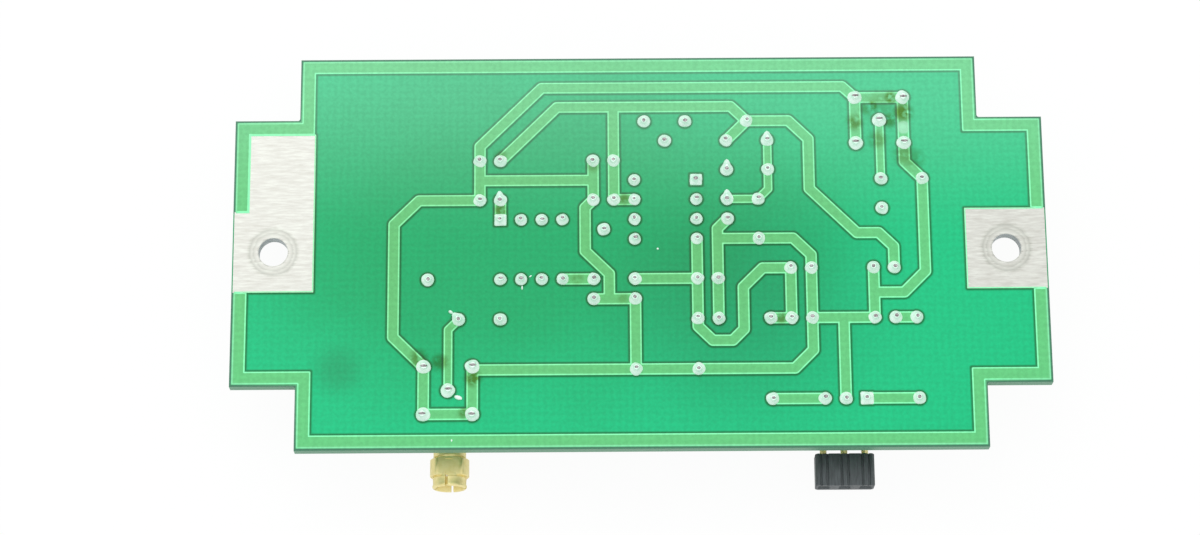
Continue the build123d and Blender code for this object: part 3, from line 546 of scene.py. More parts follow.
# --- Component-side copper --------------------------------------------------------------------
# A few slim tracks on the other face, under the same green mask. The tinned ring round every lead
# that comes through is drawn with the first parts that have leads, below.
def clouded(name, scale, low, high, roughness, sockets, relief=None, detail=3.0, stops=(0.3, 0.7), mark=None):
    """A finish that drifts between two colours in clouds.

    The scale is their number to the millimetre, or three numbers for a grain that runs one way. A pair
    of roughnesses drifts with them. Relief is the bump's strength and depth, and the mark is the
    colour of the faces that the mark attribute names.
    """
    material, tree, mm = new_finish(name)
    if isinstance(scale, tuple):
        mm, scale = add(tree, "Mapping", {"Vector": mm, "Scale": scale}), 1.0
    clouds = add(tree, "TexNoise", {"Vector": mm, "Scale": scale, "Detail": detail})
    colour = add(tree, "ValToRGB", {"Fac": clouds})
    colour_stops(colour, [(stops[0], low), (stops[1], high)])
    if mark:
        marked = add(tree, "Attribute", attribute_name="mark").outputs["Fac"]
        colour = add(tree, "Mix", {0: marked, 6: colour, 7: paint(mark)}, data_type="RGBA")
    if isinstance(roughness, tuple):
        smooth, rough = roughness
        roughness = add(tree, "MapRange", {"Value": clouds, "To Min": smooth, "To Max": rough})
    close_finish(tree, colour, roughness, sockets, relief and (clouds, *relief))
    return material


# Satin green over slim copper, a shade paler than the coat beside it.
covered_finish = clouded("masked_component_copper", 0.8, "#52AE66", "#62BC72", 0.38,
                         {"IOR": 1.5, "Specular IOR Level": 0.25})
dress(["component_copper"], covered_finish)


# --- Bare lands -------------------------------------------------------------------------------
# Hot-tinned copper round the mounting holes, wiped level: dull, off-white, with fine wiping
# streaks along the board and the worn ring that a screw's head has left.
land_finish, tree, mm = new_finish("hot_tinned_copper")
streak_scale = add(tree, "Mapping", {"Vector": mm, "Scale": (0.5, 3.4, 1.0)})
streaks = add(tree, "TexNoise", {"Vector": streak_scale, "Scale": 1.0, "Detail": 6.0, "Roughness": 0.65})
tin = add(tree, "ValToRGB", {"Fac": streaks})
colour_stops(tin, [(0.32, "#C0BFB7"), (0.5, "#CDCDC6"), (0.68, "#DBDDD5")])
# Rings that the screw heads pressed into the tin, 6 mm across, and the lip of each drilled hole.
folded = add(tree, "VectorMath", {0: mm}, operation="ABSOLUTE")
from_hole = add(tree, "VectorMath", {0: folded, 1: (hole_x, 0.0, board_top)}, operation="DISTANCE")
wobble = add(tree, "MapRange", {"Value": streaks, "To Min": -0.35, "To Max": 0.35})
from_hole = add(tree, "Math", {0: from_hole, 1: wobble}, operation="ADD")
ring_place = add(tree, "MapRange", {"Value": from_hole, "From Min": 1.5, "From Max": 4.0})
rings = add(tree, "ValToRGB", {"Fac": ring_place})
colour_stops(rings, [(0.0, "#A6ACA8"), (0.12, "#B8BDB8"), (0.20, "#FFFFFF"), (0.30, "#E8EAE6"),
                     (0.36, "#C4C8C4"), (0.44, "#F4F6F2"), (0.56, "#B4B8B3"), (0.62, "#DFE2DC"),
                     (0.72, "#FFFFFF")])
tin = add(tree, "Mix", {0: 0.45, 6: tin, 7: rings}, data_type="RGBA", blend_type="MULTIPLY")
rough = add(tree, "MapRange", {"Value": streaks, "To Min": 0.28, "To Max": 0.5})
close_finish(tree, tin, rough, {"Metallic": 0.4}, (streaks, 0.3, 0.00003))
dress(["left_land", "right_land"], land_finish)


# --- Eight-pin packages -----------------------------------------------------------------------
# Two amplifiers in black moulded epoxy, drafted each way from the parting line, with a notch and a
# dimple at pin 1; their eight tinned pins are stamped strip, bent down and soldered through.
def span(name):
    """Lowest corner, highest corner and middle of a CAD node, in millimetres."""
    low, high = (Vector(corner) * 1000 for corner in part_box(name))
    return low, high, (low + high) / 2


def skin(bm, rings, finish_index=0, joined=False):
    """Join a row of equal rings of points into a closed form: capped, or the last ring to the first."""
    loops = [[bm.verts.new(point) for point in ring] for ring in rings]
    count = len(loops[0])
    pairs = list(zip(loops, loops[1:])) + ([(loops[-1], loops[0])] if joined else [])
    faces = [bm.faces.new((a[k], a[(k + 1) % count], b[(k + 1) % count], b[k]))
             for a, b in pairs for k in range(count)]
    if not joined:
        faces += [bm.faces.new(loops[0][::-1]), bm.faces.new(loops[-1])]
    for face in faces:
        face.material_index = finish_index
    return faces


def turned(place, profile, count=24):
    """Rings of a turned form: (distance along, radius) pairs swept round the X axis of a place."""
    turns = [2 * math.pi * k / count for k in range(count)]
    return [[place @ Vector((along, radius * math.cos(turn), radius * math.sin(turn))) for turn in turns]
            for along, radius in profile]


def block(place, half_x, half_y, corner, levels, steps=3):
    """Rings of a block with rounded corners: at each level its height and how far its sides stand in."""
    rings = []
    for height, inset in levels:
        ring = []
        for turn, sx, sy in ((0, 1, 1), (1, -1, 1), (2, -1, -1), (3, 1, -1)):
            for k in range(steps + 1):
                angle = (turn + k / steps) * math.pi / 2
                x = sx * (half_x - inset - corner) + corner * math.cos(angle)
                y = sy * (half_y - inset - corner) + corner * math.sin(angle)
                ring.append(place @ Vector((x, y, height)))
        rings.append(ring)
    return rings


def downward(x, y):
    """A place on the component side whose own X axis points away from the board."""
    return Matrix.Translation((x, y, 0)) @ Matrix.Rotation(math.pi / 2, 4, "Y")


def cut_away(bm, cutter):
    """Cut one drawn shape out of another and return what is left."""
    pair = []
    for shape in (bm, cutter):
        bmesh.ops.recalc_face_normals(shape, faces=shape.faces)
        mesh = bpy.data.meshes.new("blank")
        shape.to_mesh(mesh)
        shape.free()
        pair.append(bpy.data.objects.new("blank", mesh))
        bpy.context.scene.collection.objects.link(pair[-1])
    modifier = pair[0].modifiers.new("cut", "BOOLEAN")
    modifier.object = pair[1]
    left = bmesh.new()
    left.from_object(pair[0], bpy.context.evaluated_depsgraph_get())
    for blank in pair:
        bpy.data.objects.remove(blank)
    return left


# Matt black with a fine mould grain, about 0.1 mm.
black_moulding = clouded("black_epoxy_moulding", 9.0, "#232425", "#303233", 0.55, {"IOR": 1.5},
                         (0.3, 0.00002))
# Dipped tin on copper: grey-white, unevenly dull.
tinned_wire = clouded("tinned_copper_wire", 3.0, "#BDBDBA", "#D8D8D4", (0.2, 0.45), {"Metallic": 1.0})

# The ring of each lead on the component side, where solder has drawn up the hole: its edge lies just
# inside the pad, and it rises toward the lead.
bm = bmesh.new()
lead_top, sunk = -0.07, -0.02
for points, radius in joints.values():
    for point in points:
        edge = radius - 0.06
        profile = [(sunk, 0.2), (sunk, edge), (0.05, edge), (0.08, edge - 0.05), (0.1, 0.5), (0.2, 0.34),
                   (0.22, 0.2)]
        skin(bm, turned(downward(*at(*point)), profile, 20))
new_piece("component_rings", bm, [land_finish])

for name, heading in (("amplifier_a", 0), ("amplifier_b", -90)):
    low, high, centre = span(name)
    size = high - low
    half_across, half_along, half_high = min(size.x, size.y) / 2, max(size.x, size.y) / 2, size.z / 2
    place = Matrix.Translation(centre) @ Matrix.Rotation(math.radians(heading), 4, "Z")
    # Edges are broken in two small steps beyond the six degrees of draft.
    draft = half_high * math.tan(math.radians(6))
    upper = [(0.03, 0.0), (half_high - 0.14, draft), (half_high - 0.04, draft + 0.06),
             (half_high, draft + 0.16)]
    levels = [(-height, inset) for height, inset in upper[::-1]] + upper
    bm = bmesh.new()
    skin(bm, block(place, half_along, half_across, 0.22, levels))
    cutter = bmesh.new()
    notch_cut, dimple_cut = (0.12 - half_along, 0, 0.8, 0.45), (1.5 - half_along, 1.9, 0.55, 0.12)
    for along, across, radius, deep in (notch_cut, dimple_cut):
        spot = place @ Matrix.Translation((along, across, 0)) @ Matrix.Rotation(math.pi / 2, 4, "Y")
        skin(cutter, turned(spot, [(half_high - deep, radius * 0.85), (half_high + 0.5, radius * 1.1)], 28))
    bm = cut_away(bm, cutter)
    new_piece(name + "_body", bm, [black_moulding], [name])
    bm = bmesh.new()
    strip_half, wide, slim = 0.14, 0.72, 0.25
    reach = 1.5 * pitch
    shoulder = -0.98 - centre.z
    # Middle line of the strip and its half width: out of the body, round the bend, down to the
    # shoulder, then the tip. Its section has broken corners.
    line = [(half_across - 0.25, 0.0, wide), (reach - 0.42, 0.0, wide), (reach - 0.2, 0.05, wide),
            (reach - 0.05, 0.2, wide), (reach, 0.42, wide), (reach, shoulder, wide),
            (reach, shoulder + 0.14, 0.56), (reach, shoulder + 0.28, slim),
            (reach, lead_top - centre.z, slim)]
    section = [(1, 0.7), (0.93, 1), (-0.93, 1), (-1, 0.7), (-1, -0.7), (-0.93, -1), (0.93, -1), (1, -0.7)]
    for side in (-1, 1):
        for pin in range(4):
            rings = []
            for k, (out, rise, half) in enumerate(line):
                before, after = line[max(k - 1, 0)], line[min(k + 1, len(line) - 1)]
                run = Vector((after[0] - before[0], after[1] - before[1])).normalized()
                edge_out, edge_rise = run.y * strip_half, -run.x * strip_half
                rings.append([place @ Vector(((pin - 1.5) * pitch + half * sx, side * (out + edge_out * sn),
                                              rise + edge_rise * sn)) for sx, sn in section])
            skin(bm, rings)
    new_piece(name + "_strip_pins", bm, [tinned_wire], [name + "_pins"])


# --- Capacitors -------------------------------------------------------------------------------
# Small ceramic capacitors dipped in ochre resin that ran a little way down both leads, and two
# tantalum beads, round bellied, with a dark stripe down the side of the positive lead.
def bent_wire(points, radius=0.275, bend=0.7, count=10):
    """Rings of a wire along its points, each corner bent round."""
    points = [Vector(point) for point in points]
    path = [points[0]]
    for before, corner, after in zip(points, points[1:], points[2:]):
        start = corner + (before - corner).normalized() * bend
        end = corner + (after - corner).normalized() * bend
        path += [start.lerp(corner, t).lerp(corner.lerp(end, t), t) for t in (0, 0.2, 0.4, 0.6, 0.8, 1)]
    path.append(points[-1])
    side = (path[1] - path[0]).orthogonal().normalized()
    turns = [2 * math.pi * (n + 0.5) / count for n in range(count)]
    rings = []
    for k, point in enumerate(path):
        run = (path[min(k + 1, len(path) - 1)] - path[max(k - 1, 0)]).normalized()
        side = (side - run * side.dot(run)).normalized()
        other = run.cross(side)
        rings.append([point + radius * (side * math.cos(turn) + other * math.sin(turn)) for turn in turns])
    return rings


def power(value, exponent):
    """A signed power."""
    return math.copysign(abs(value) ** exponent, value)


chance = random.Random(3)
# Resin left by dipping: glossy, a little uneven in colour and thickness.
dip_relief = (0.2, 0.00005)
ochre_resin = clouded("ochre_dipped_resin", 0.7, "#B07C22", "#C28E30", 0.3, {"IOR": 1.5}, dip_relief, 4.0)
leads = bmesh.new()
for name in [name for name in nodes if name.startswith("ceramic_capacitor")]:
    low, high, centre = span(name)
    size = high - low
    lying = size.x > size.y
    half_wide, half_thick, half_tall = max(size.x, size.y) / 2, min(size.x, size.y) / 2, size.z / 2
    place = Matrix.Translation(centre) @ Matrix.Rotation(0 if lying else math.pi / 2, 4, "Z")
    lumps = [(n, chance.uniform(-0.02, 0.02), chance.uniform(0, 6.28)) for n in (2, 3, 5)]
    rings = []
    for k in range(1, 14):
        slant = math.pi * (k / 14 - 0.5)
        thick, reach = half_thick * power(math.sin(slant), 0.85), math.cos(slant) ** 0.55
        ring = []
        for n in range(36):
            turn = 2 * math.pi * n / 36
            lump = 0.98 + sum(amount * math.cos(m * turn + start) for m, amount, start in lumps)
            ring.append(place @ Vector((half_wide * reach * lump * power(math.cos(turn), 0.62), thick,
                                        half_tall * reach * lump * power(math.sin(turn), 0.62))))
        rings.append(ring)
    bm = bmesh.new()
    skin(bm, rings)
    for side in (-1, 1):
        foot = place @ Vector((side * pitch / 2, 0, 0))
        run = chance.uniform(0.62, 0.95)
        skirt = [(run, 0.29), (run + 0.1, 0.36), (1.3, 0.52), (1.7, 0.85), (2.4, 0.8)]
        skin(bm, turned(downward(foot.x, foot.y), skirt, 16))
        skin(leads, bent_wire([(foot.x, foot.y, -2.2), (foot.x, foot.y, lead_top)]))
    new_piece(name + "_coat", bm, [ochre_resin], [name])

yellow_resin = clouded("yellow_dipped_resin", 0.7, "#C79A1E", "#D8AE33", 0.25, {"IOR": 1.5}, dip_relief, 4.0,
                       mark="#3A3024")
bead_profile = [(1.2, 1.2), (1.28, 1.46), (1.5, 1.68), (2.1, 1.88), (3.0, 2.04), (3.9, 2.1), (4.6, 2.02),
                (5.2, 1.8), (5.6, 1.46), (5.86, 1.0), (5.97, 0.5), (6.0, 0.12)]
for name in ("bead_capacitor_1", "bead_capacitor_2"):
    centre = span(name)[2]
    bm = bmesh.new()
    mark = bm.faces.layers.float.new("mark")
    for face in skin(bm, turned(downward(centre.x, centre.y), bead_profile, 40)):
        middle = face.calc_center_median()
        away = abs(math.atan2(middle.y - centre.y, centre.x - middle.x))
        face[mark] = 1.0 if away < 0.2 and -4.7 < middle.z < -2.2 else 0.0
    for side in (-1, 1):
        foot = downward(centre.x + side * pitch / 2, centre.y)
        skin(bm, turned(foot, [(0.72, 0.29), (0.85, 0.36), (1.2, 0.5), (1.6, 0.62)], 16))
        skin(leads, bent_wire([foot @ Vector((2.0, 0, 0)), foot @ Vector((-lead_top, 0, 0))]))
    new_piece(name + "_coat", bm, [yellow_resin], [name])
new_piece("capacitor_wires", leads, [tinned_wire], ["capacitor_leads"])


# --- Resistors and chokes ---------------------------------------------------------------------
# Axial parts on bent tinned leads: lacquered resistors, fatter over their end caps, and two green
# moulded chokes; all carry painted colour rings. One resistor stands on end, its lead bent back.
def ringed(name, low, high):
    """A lacquer or moulding with painted rings: the ring attribute picks a colour of the colour code."""
    material, tree, mm = new_finish(name)
    clouds = add(tree, "TexNoise", {"Vector": mm, "Scale": 1.2, "Detail": 3.0})
    ground = add(tree, "ValToRGB", {"Fac": clouds})
    colour_stops(ground, [(0.3, low), (0.7, high)])
    code = add(tree, "Attribute", attribute_name="ring").outputs["Fac"]
    rings = add(tree, "ValToRGB", {"Fac": code})
    rings.color_ramp.interpolation = "CONSTANT"
    colour_stops(rings, [(0.0, "#5A3420"), (0.15, "#1E1D1C"), (0.25, "#A8281E"), (0.35, "#CF6A1B"),
                         (0.45, "#D2B323"), (0.55, "#6B3F96"), (0.65, "#A98C45")])
    painted = add(tree, "Math", {0: code, 1: 0.05}, operation="GREATER_THAN")
    colour = add(tree, "Mix", {0: painted, 6: ground, 7: rings}, data_type="RGBA")
    close_finish(tree, colour, 0.3, {"IOR": 1.5}, (clouds, 0.2, 0.00004))
    return material


def ringed_body(place, profile, rings):
    """Turn a body and paint its rings: where each starts and ends along it, and its colour code."""
    ends = [end for start, stop, _ in rings for end in (start, stop)]
    stations = sorted({along for along, _ in profile}.union(ends))
    radii = np.interp(stations, *zip(*profile))
    bm = bmesh.new()
    ring = bm.faces.layers.float.new("ring")
    inward = place.inverted()
    for face in skin(bm, turned(place, list(zip(stations, radii)), 32)):
        along = (inward @ face.calc_center_median()).x
        face[ring] = next((code for start, stop, code in rings if start < along < stop), 0.0)
    return bm


blue_lacquer = ringed("blue_resistor_lacquer", "#6C9DB4", "#7FB0C6")
half_profile = [(0.62, 0.85), (0.78, 0.9), (1.0, 0.99), (1.3, 0.99), (1.52, 0.86), (1.62, 0.62), (1.65, 0.3)]
resistor_profile = [(-along, radius) for along, radius in half_profile[::-1]] + half_profile
resistor_ends = {"resistor_1": ((11, -4), (13, -4)), "resistor_2": ((11, -2.5), (13, -2.5)),
                 "resistor_3": ((-2, 5), (0, 5)), "resistor_4": ((12.5, -1), (12.5, 1)),
                 "upright_resistor": None}
# The three rings of each value, and the tolerance ring, all by their place on the colour code.
values = [(0.1, 0.2, 0.3), (0.5, 0.6, 0.2), (0.3, 0.3, 0.4), (0.1, 0.2, 0.4), (0.5, 0.6, 0.3)]
tolerance = 0.7
leads = bmesh.new()
for (name, ends), (first, second, third) in zip(resistor_ends.items(), values):
    centre = span(name)[2]
    painted = [(-1.28, -1.0, first), (-0.58, -0.32, second), (-0.1, 0.16, third), (1.0, 1.26, tolerance)]
    if ends:
        (ax, ay), (bx, by) = at(*ends[0]), at(*ends[1])
        turn = Matrix.Rotation(math.atan2(by - ay, bx - ax), 4, "Z")
        along = turn @ Vector((1, 0, 0))
        for side, (x, y) in ((-1, (ax, ay)), (1, (bx, by))):
            skin(leads, bent_wire([centre + along * side * 1.5, (x, y, centre.z), (x, y, lead_top)]))
    else:
        turn = Matrix.Rotation(math.pi / 2, 4, "Y")
        x, y = at(18.5, -2)
        upright, low = (centre.x, centre.y), -5.1
        skin(leads, bent_wire([(*upright, -3.5), (*upright, low), (x, y, low), (x, y, lead_top)]))
        skin(leads, bent_wire([(*upright, -0.6), (*upright, lead_top)]))
    bm = ringed_body(Matrix.Translation(centre) @ turn, resistor_profile, painted)
    new_piece(name + "_coat", bm, [blue_lacquer], [name])
new_piece("resistor_wires", leads, [tinned_wire], ["resistor_leads"])

green_moulding = ringed("green_choke_moulding", "#2B5738", "#376846")
half_profile = [(2.3, 1.7), (2.75, 1.67), (3.15, 1.58), (3.42, 1.35), (3.57, 0.95), (3.6, 0.4)]
choke_profile = [(-along, radius) for along, radius in half_profile[::-1]] + half_profile
leads = bmesh.new()
for name, column in (("choke_1", 13), ("choke_2", 20)):
    centre = span(name)[2]
    painted = [(-2.1, -1.7, 0.1), (-1.2, -0.8, 0.2), (-0.3, 0.1, 0.3), (1.5, 1.9, tolerance)]
    turn = Matrix.Rotation(-math.pi / 2, 4, "Z")
    bm = ringed_body(Matrix.Translation(centre) @ turn, choke_profile, painted)
    new_piece(name + "_moulding", bm, [green_moulding], [name])
    for side, row in ((1, 5), (-1, 9)):
        x, y = at(column, row)
        skin(leads, bent_wire([centre + Vector((0, side * 3.4, 0)), (x, y, centre.z), (x, y, lead_top)]))
new_piece("choke_wires", leads, [tinned_wire], ["choke_leads"])


# --- Transistor -------------------------------------------------------------------------------
# Black moulded body, round at the back and flat in front, on three tinned leads bent apart
# to reach their holes.
low, high, centre = span("transistor")
round_y, body_radius, flat_y = low.y + 2.3, 2.3, high.y
flat_angle = math.asin((flat_y - round_y) / body_radius)
turns = [math.pi - flat_angle + (math.pi + 2 * flat_angle) * k / 32 for k in range(33)]
rings = []
for height, share, back in ((low.z, 0.90, 0.2), (low.z + 0.06, 0.96, 0.08), (low.z + 0.2, 0.985, 0.02),
                            (low.z + 2.2, 1.0, 0.0), (high.z - 0.15, 0.99, 0.0), (high.z, 0.95, 0.1)):
    radius = body_radius * share
    rings.append([(centre.x + radius * math.cos(turn),
                   min(round_y + radius * math.sin(turn), flat_y - back), height) for turn in turns])
bm = bmesh.new()
skin(bm, rings)
new_piece("transistor_body", bm, [black_moulding], ["transistor"])
bm = bmesh.new()
for step, hole in ((-1, (7, -5)), (0, (8, -4)), (1, (9, -5))):
    x, y = at(*hole)
    root = (centre.x + step * 1.27, round_y)
    skin(bm, bent_wire([(*root, -1.8), (*root, -1.3), (x, y, -0.6), (x, y, lead_top)], 0.24, 0.25))
new_piece("transistor_wires", bm, [tinned_wire], ["transistor_leads"])


# --- Coaxial connectors -----------------------------------------------------------------------
# Push-fit connectors turned and milled from brass and gold plated: a block on four legs, a neck,
# a collar with two flats and a slotted spring sleeve; a white bush holds the gold contact.

# Pale yellow plating over fine turning marks, so that reflections break up along the barrel.
gold_plate = clouded("gold_plated_brass", 2.0, "#EFDF98", "#F7EAAE", (0.4, 0.5), {"Metallic": 0.65},
                     (0.15, 0.00003))
white_bush = clouded("white_ptfe", 0.7, "#E6E6E0", "#F0F0EA", 0.45, {"IOR": 1.5}, dip_relief, 4.0)
dress(["coax_in_insulator", "coax_out_insulator"], white_bush)
dress(["coax_in_contact", "coax_out_contact"], gold_plate)

block_half, leg_spread, leg_half, neck_radius, flat_half = 3.5, 2.97, 0.5, 2.0, 1.8
collar_length, sleeve_length, bore_radius, slot_half_angle = 2.2, 1.4, 1.65, 0.083
for name in ("coax_in", "coax_out"):
    right_angle = name == "coax_in"
    low, high, _ = span(name + "_shell")
    foot = Vector(((low.x + high.x) / 2, high.y - block_half, 0))
    # The right-angle one's barrel leaves under the board's edge; the upright one's points down.
    if right_angle:
        axis = Matrix.Translation(foot - Vector((0, 0, 5.2))) @ Matrix.Rotation(-math.pi / 2, 4, "Z")
        neck_start, collar_start, block_low = 3.4, half_width - 0.3 + foot.y, low.z
    else:
        axis = downward(foot.x, foot.y)
        neck_start, collar_start, block_low = 2.2, 5.1, -2.3
    collar_end = collar_start + collar_length
    bm = bmesh.new()
    levels = [(block_low, 0.12), (block_low + 0.12, 0.0), (-0.42, 0.0), (-0.3, 0.12)]
    skin(bm, block(Matrix.Translation(foot), block_half, block_half, block_half / 8, levels, steps=2))
    for sx in (-1, 1):
        for sy in (-1, 1):
            leg_place = Matrix.Translation(foot + Vector((sx * leg_spread, sy * leg_spread, 0)))
            skin(bm, block(leg_place, leg_half, leg_half, 0.08, [(-0.5, 0.0), (lead_top, 0.0)], steps=2))
    step_radius = neck_radius - 0.1
    skin(bm, turned(axis, [(neck_start, neck_radius), (collar_start - 0.25, neck_radius),
                           (collar_start - 0.15, step_radius), (collar_start + 0.2, step_radius)], 40))
    # The collar's two flats; those of the right-angle one lie level with the board.
    rings = turned(axis, [(collar_start, bore_radius), (collar_start, 2.26), (collar_start + 0.1, 2.4),
                          (collar_end - 0.1, 2.4), (collar_end, 2.28), (collar_end, bore_radius)], 72)
    inward = axis.inverted()
    across = 2 if right_angle else 1
    for ring in rings:
        for k, point in enumerate(ring):
            local = inward @ point
            local[across] = max(-flat_half, min(flat_half, local[across]))
            ring[k] = axis @ local
    skin(bm, rings, joined=True)
    new_piece(name + "_body", bm, [gold_plate], [name + "_shell"])
    bm = bmesh.new()
    start, stop = collar_end - 0.3, collar_end + sleeve_length
    section = [(start, bore_radius), (start, 1.98), (start + 0.42, 1.98), (start + 0.5, 2.06),
               (stop - 0.5, 2.02), (stop - 0.34, 2.1), (stop - 0.12, 2.1), (stop, 1.98), (stop, 1.74),
               (stop - 0.12, bore_radius)]
    # Four springy quarters of the sleeve, with a slot between each two.
    for quarter in range(4):
        first = math.radians(81 + 90 * quarter) + slot_half_angle
        wide = math.pi / 2 - 2 * slot_half_angle
        rings = []
        for k in range(15):
            turn = (first + wide * k / 14) * (-1 if right_angle else 1)
            rings.append([axis @ Vector((along, radius * math.cos(turn), radius * math.sin(turn)))
                          for along, radius in section])
        skin(bm, rings)
    new_piece(name + "_spring", bm, [gold_plate], [name + "_sleeve"])


# --- Supply socket ----------------------------------------------------------------------------
# Three-way socket moulded in black glass-filled nylon, laid flat at the board's edge, grooved over
# each way; its square gold-plated pins come out at the back and turn up into the board.

# The grain of the glass runs along each way and shows as faint lighter streaks.
housing_finish = clouded("black_glass_filled_moulding", (5.0, 0.6, 5.0), "#3B4143", "#545B5E", 0.5,
                         {"IOR": 1.5}, (0.3, 0.00003), 4.0)
low, high, centre = span("socket_housing")
half_x, half_z, chamfer = (high.x - low.x) / 2, (high.z - low.z) / 2, 0.25
section = [(-half_x, chamfer - half_z), (chamfer - half_x, -half_z), (half_x - chamfer, -half_z),
           (half_x, chamfer - half_z), (half_x, half_z - chamfer), (half_x - chamfer, half_z)]
for way in (1, 0, -1):
    for groove in (0.4, -0.4):
        x = way * pitch + groove
        section += [(x + 0.16, half_z), (x + 0.1, half_z - 0.2), (x - 0.1, half_z - 0.2), (x - 0.16, half_z)]
section += [(chamfer - half_x, half_z), (-half_x, half_z - chamfer)]
bm = bmesh.new()
skin(bm, [[(centre.x + x * shrink, y, centre.z + z * shrink) for x, z in section] for y, shrink in
          ((low.y, 0.975), (low.y + 0.1, 1.0), (high.y - 0.1, 1.0), (high.y, 0.975))])
cutter = bmesh.new()
for way in (-1, 0, 1):
    front = Matrix.Translation((centre.x + way * pitch, low.y, centre.z))
    mouth = front @ Matrix.Rotation(-math.pi / 2, 4, "X")
    skin(cutter, block(mouth, 0.9, 0.9, 0.05, [(-0.3, -0.1), (0.35, 0.42), (3.5, 0.42)], steps=1))
bm = cut_away(bm, cutter)
new_piece("socket_moulding", bm, [housing_finish], ["socket_housing"])
bm = bmesh.new()
pin_y, pin_level = at(16.5, 9)[1], -4.25
# Inside each way a fork of two leaves pinches together near the mouth.
line = [(high.y - 0.8, 0.30), (low.y + 1.3, 0.16), (low.y + 0.9, 0.22), (low.y + 0.6, 0.34)]
for way in (-1, 0, 1):
    x = centre.x + way * pitch
    pin = [(x, high.y - 0.3, pin_level), (x, pin_y, pin_level), (x, pin_y, lead_top)]
    skin(bm, bent_wire(pin, 0.41, 0.6, 4))
    for side in (-1, 1):
        skin(bm, [[(x + across, y, centre.z + side * (away + thick)) for across, thick in
                   ((-0.3, 0), (0.3, 0), (0.3, 0.08), (-0.3, 0.08))] for y, away in line])
new_piece("socket_pins", bm, [gold_plate], ["socket_contacts"])


# --- Solder joints ----------------------------------------------------------------------------
# Hand-soldered: bright tin-lead fillets that climb from the pad to a clipped lead, each a
# little uneven; where the iron left early there is a spike or a tear.

# Bright and satin by turns; the cut ends of the leads are bare copper gone grey.
solder_finish = clouded("tin_lead_solder", 1.6, "#D8FAE9", "#EEFFF7", (0.25, 0.45), {"Metallic": 0.1},
                        (0.3, 0.00005))
clipped_finish = clouded("clipped_lead_end", 5.0, "#6F6869", "#B9B3B4", 0.5, {"Metallic": 0.7},
                         stops=(0.35, 0.65))

pad_top = board_top + 0.07
# Joints with a torn edge: which way it points, in degrees, and how far.
tears = {(0, -1): (95, 0.45), (11, -2.5): (88, 0.55), (11, -1): (92, 0.5), (13, -4): (90, 0.4),
         (-2, 5): (130, 0.35)}
# Fillet profile: share of the way from pad edge to lead, and share of the height.
fillet_profile = [(1.04, 0.0), (1.02, 0.05), (0.93, 0.17), (0.80, 0.33), (0.66, 0.50), (0.54, 0.68),
                  (0.46, 0.84), (0.40, 0.95)]
foot_rise, steps, tear_half_angle = 0.012, 28, 0.38
stub_turns = [2 * math.pi * k / 12 for k in range(12)]
chance = random.Random(7)
for name, (points, radius) in joints.items():
    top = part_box(name)[1].z * 1000
    bm = bmesh.new()
    for point in points:
        cx, cy = at(*point)
        waves = [(k, chance.uniform(-0.035, 0.035), chance.uniform(0, 6.28)) for k in (2, 3, 4)]
        lean = chance.uniform(-0.09, 0.09), chance.uniform(-0.09, 0.09)
        tall = chance.uniform(0.82, 0.95) * (top - pad_top)
        rings = []
        for share, rise in fillet_profile:
            ring = []
            for k in range(steps):
                angle = 2 * math.pi * k / steps
                uneven = sum(size * math.cos(n * angle + turn) for n, size, turn in waves)
                reach = radius * share * (1 + uneven)
                if point in square_pads:
                    squareness = 1 / max(abs(math.cos(angle)), abs(math.sin(angle)))
                    reach *= 1 + (squareness - 1) * max(0.0, (share - 0.45) / 0.55) * 0.9
                if point in tears:
                    toward, length = tears[point]
                    off = (angle - math.radians(toward) + math.pi) % (2 * math.pi) - math.pi
                    reach += length * math.exp(-(off / tear_half_angle) ** 2) * share
                ring.append((cx + lean[0] * rise + reach * math.cos(angle),
                             cy + lean[1] * rise + reach * math.sin(angle),
                             pad_top + foot_rise + tall * rise))
            rings.append(ring)
        skin(bm, [[(x, y, pad_top) for x, y, _ in rings[0]]] + rings)
        # The clipped end of the lead: an oval stub, longer and flatter on the connectors' legs.
        wide, deep = 0.44, 0.16
        if "coax" not in name:
            wide, deep = chance.uniform(0.2, 0.3), chance.uniform(0.15, 0.24)
        stub = []
        for rise, share in ((0.80, 1.0), (0.97, 1.0), (1.03, 0.82)):
            height = min(top, pad_top + foot_rise + tall * rise)
            stub.append([(cx + lean[0] + wide * share * math.cos(turn),
                          cy + lean[1] + deep * share * math.sin(turn), height) for turn in stub_turns])
        skin(bm, stub, 1)
    new_piece(name + "_fillets", bm, [solder_finish, clipped_finish], [name])


# Solder that went astray: specks, a drip beside the right-angle connector and bits torn off joints.
# Each has its place on the grid, half its length and width, its turn in degrees and its height.
strays = [((-2.0, 8.85), 0.5, 0.27, -18, 0.2), ((-2.3, 10.95), 0.1, 0.16, 0, 0.1),
          ((7.6, 1.5), 0.14, 0.13, 0, 0.12), ((-2.38, 4.62), 0.28, 0.2, -30, 0.35),
          ((1.05, 3.42), 0.1, 0.28, 0, 0.12), ((1.45, 2.85), 0.2, 0.09, 40, 0.1)]
dome = ((0.0, 1.0), (0.35, 0.94), (0.7, 0.72), (0.93, 0.4), (1.0, 0.12))
round_turns = [(k * math.pi / 8, 1 + 0.12 * math.sin(3 * k)) for k in range(16)]
bm = bmesh.new()
for point, half_x, half_y, heading, tall in strays:
    place = Matrix.Translation((*at(*point), pad_top)) @ Matrix.Rotation(math.radians(heading), 4, "Z")
    skin(bm, [[place @ Vector((half_x * share * math.cos(turn) * uneven, half_y * share * math.sin(turn),
                               tall * rise)) for turn, uneven in round_turns] for rise, share in dome])
new_piece("stray_solder", bm, [solder_finish])


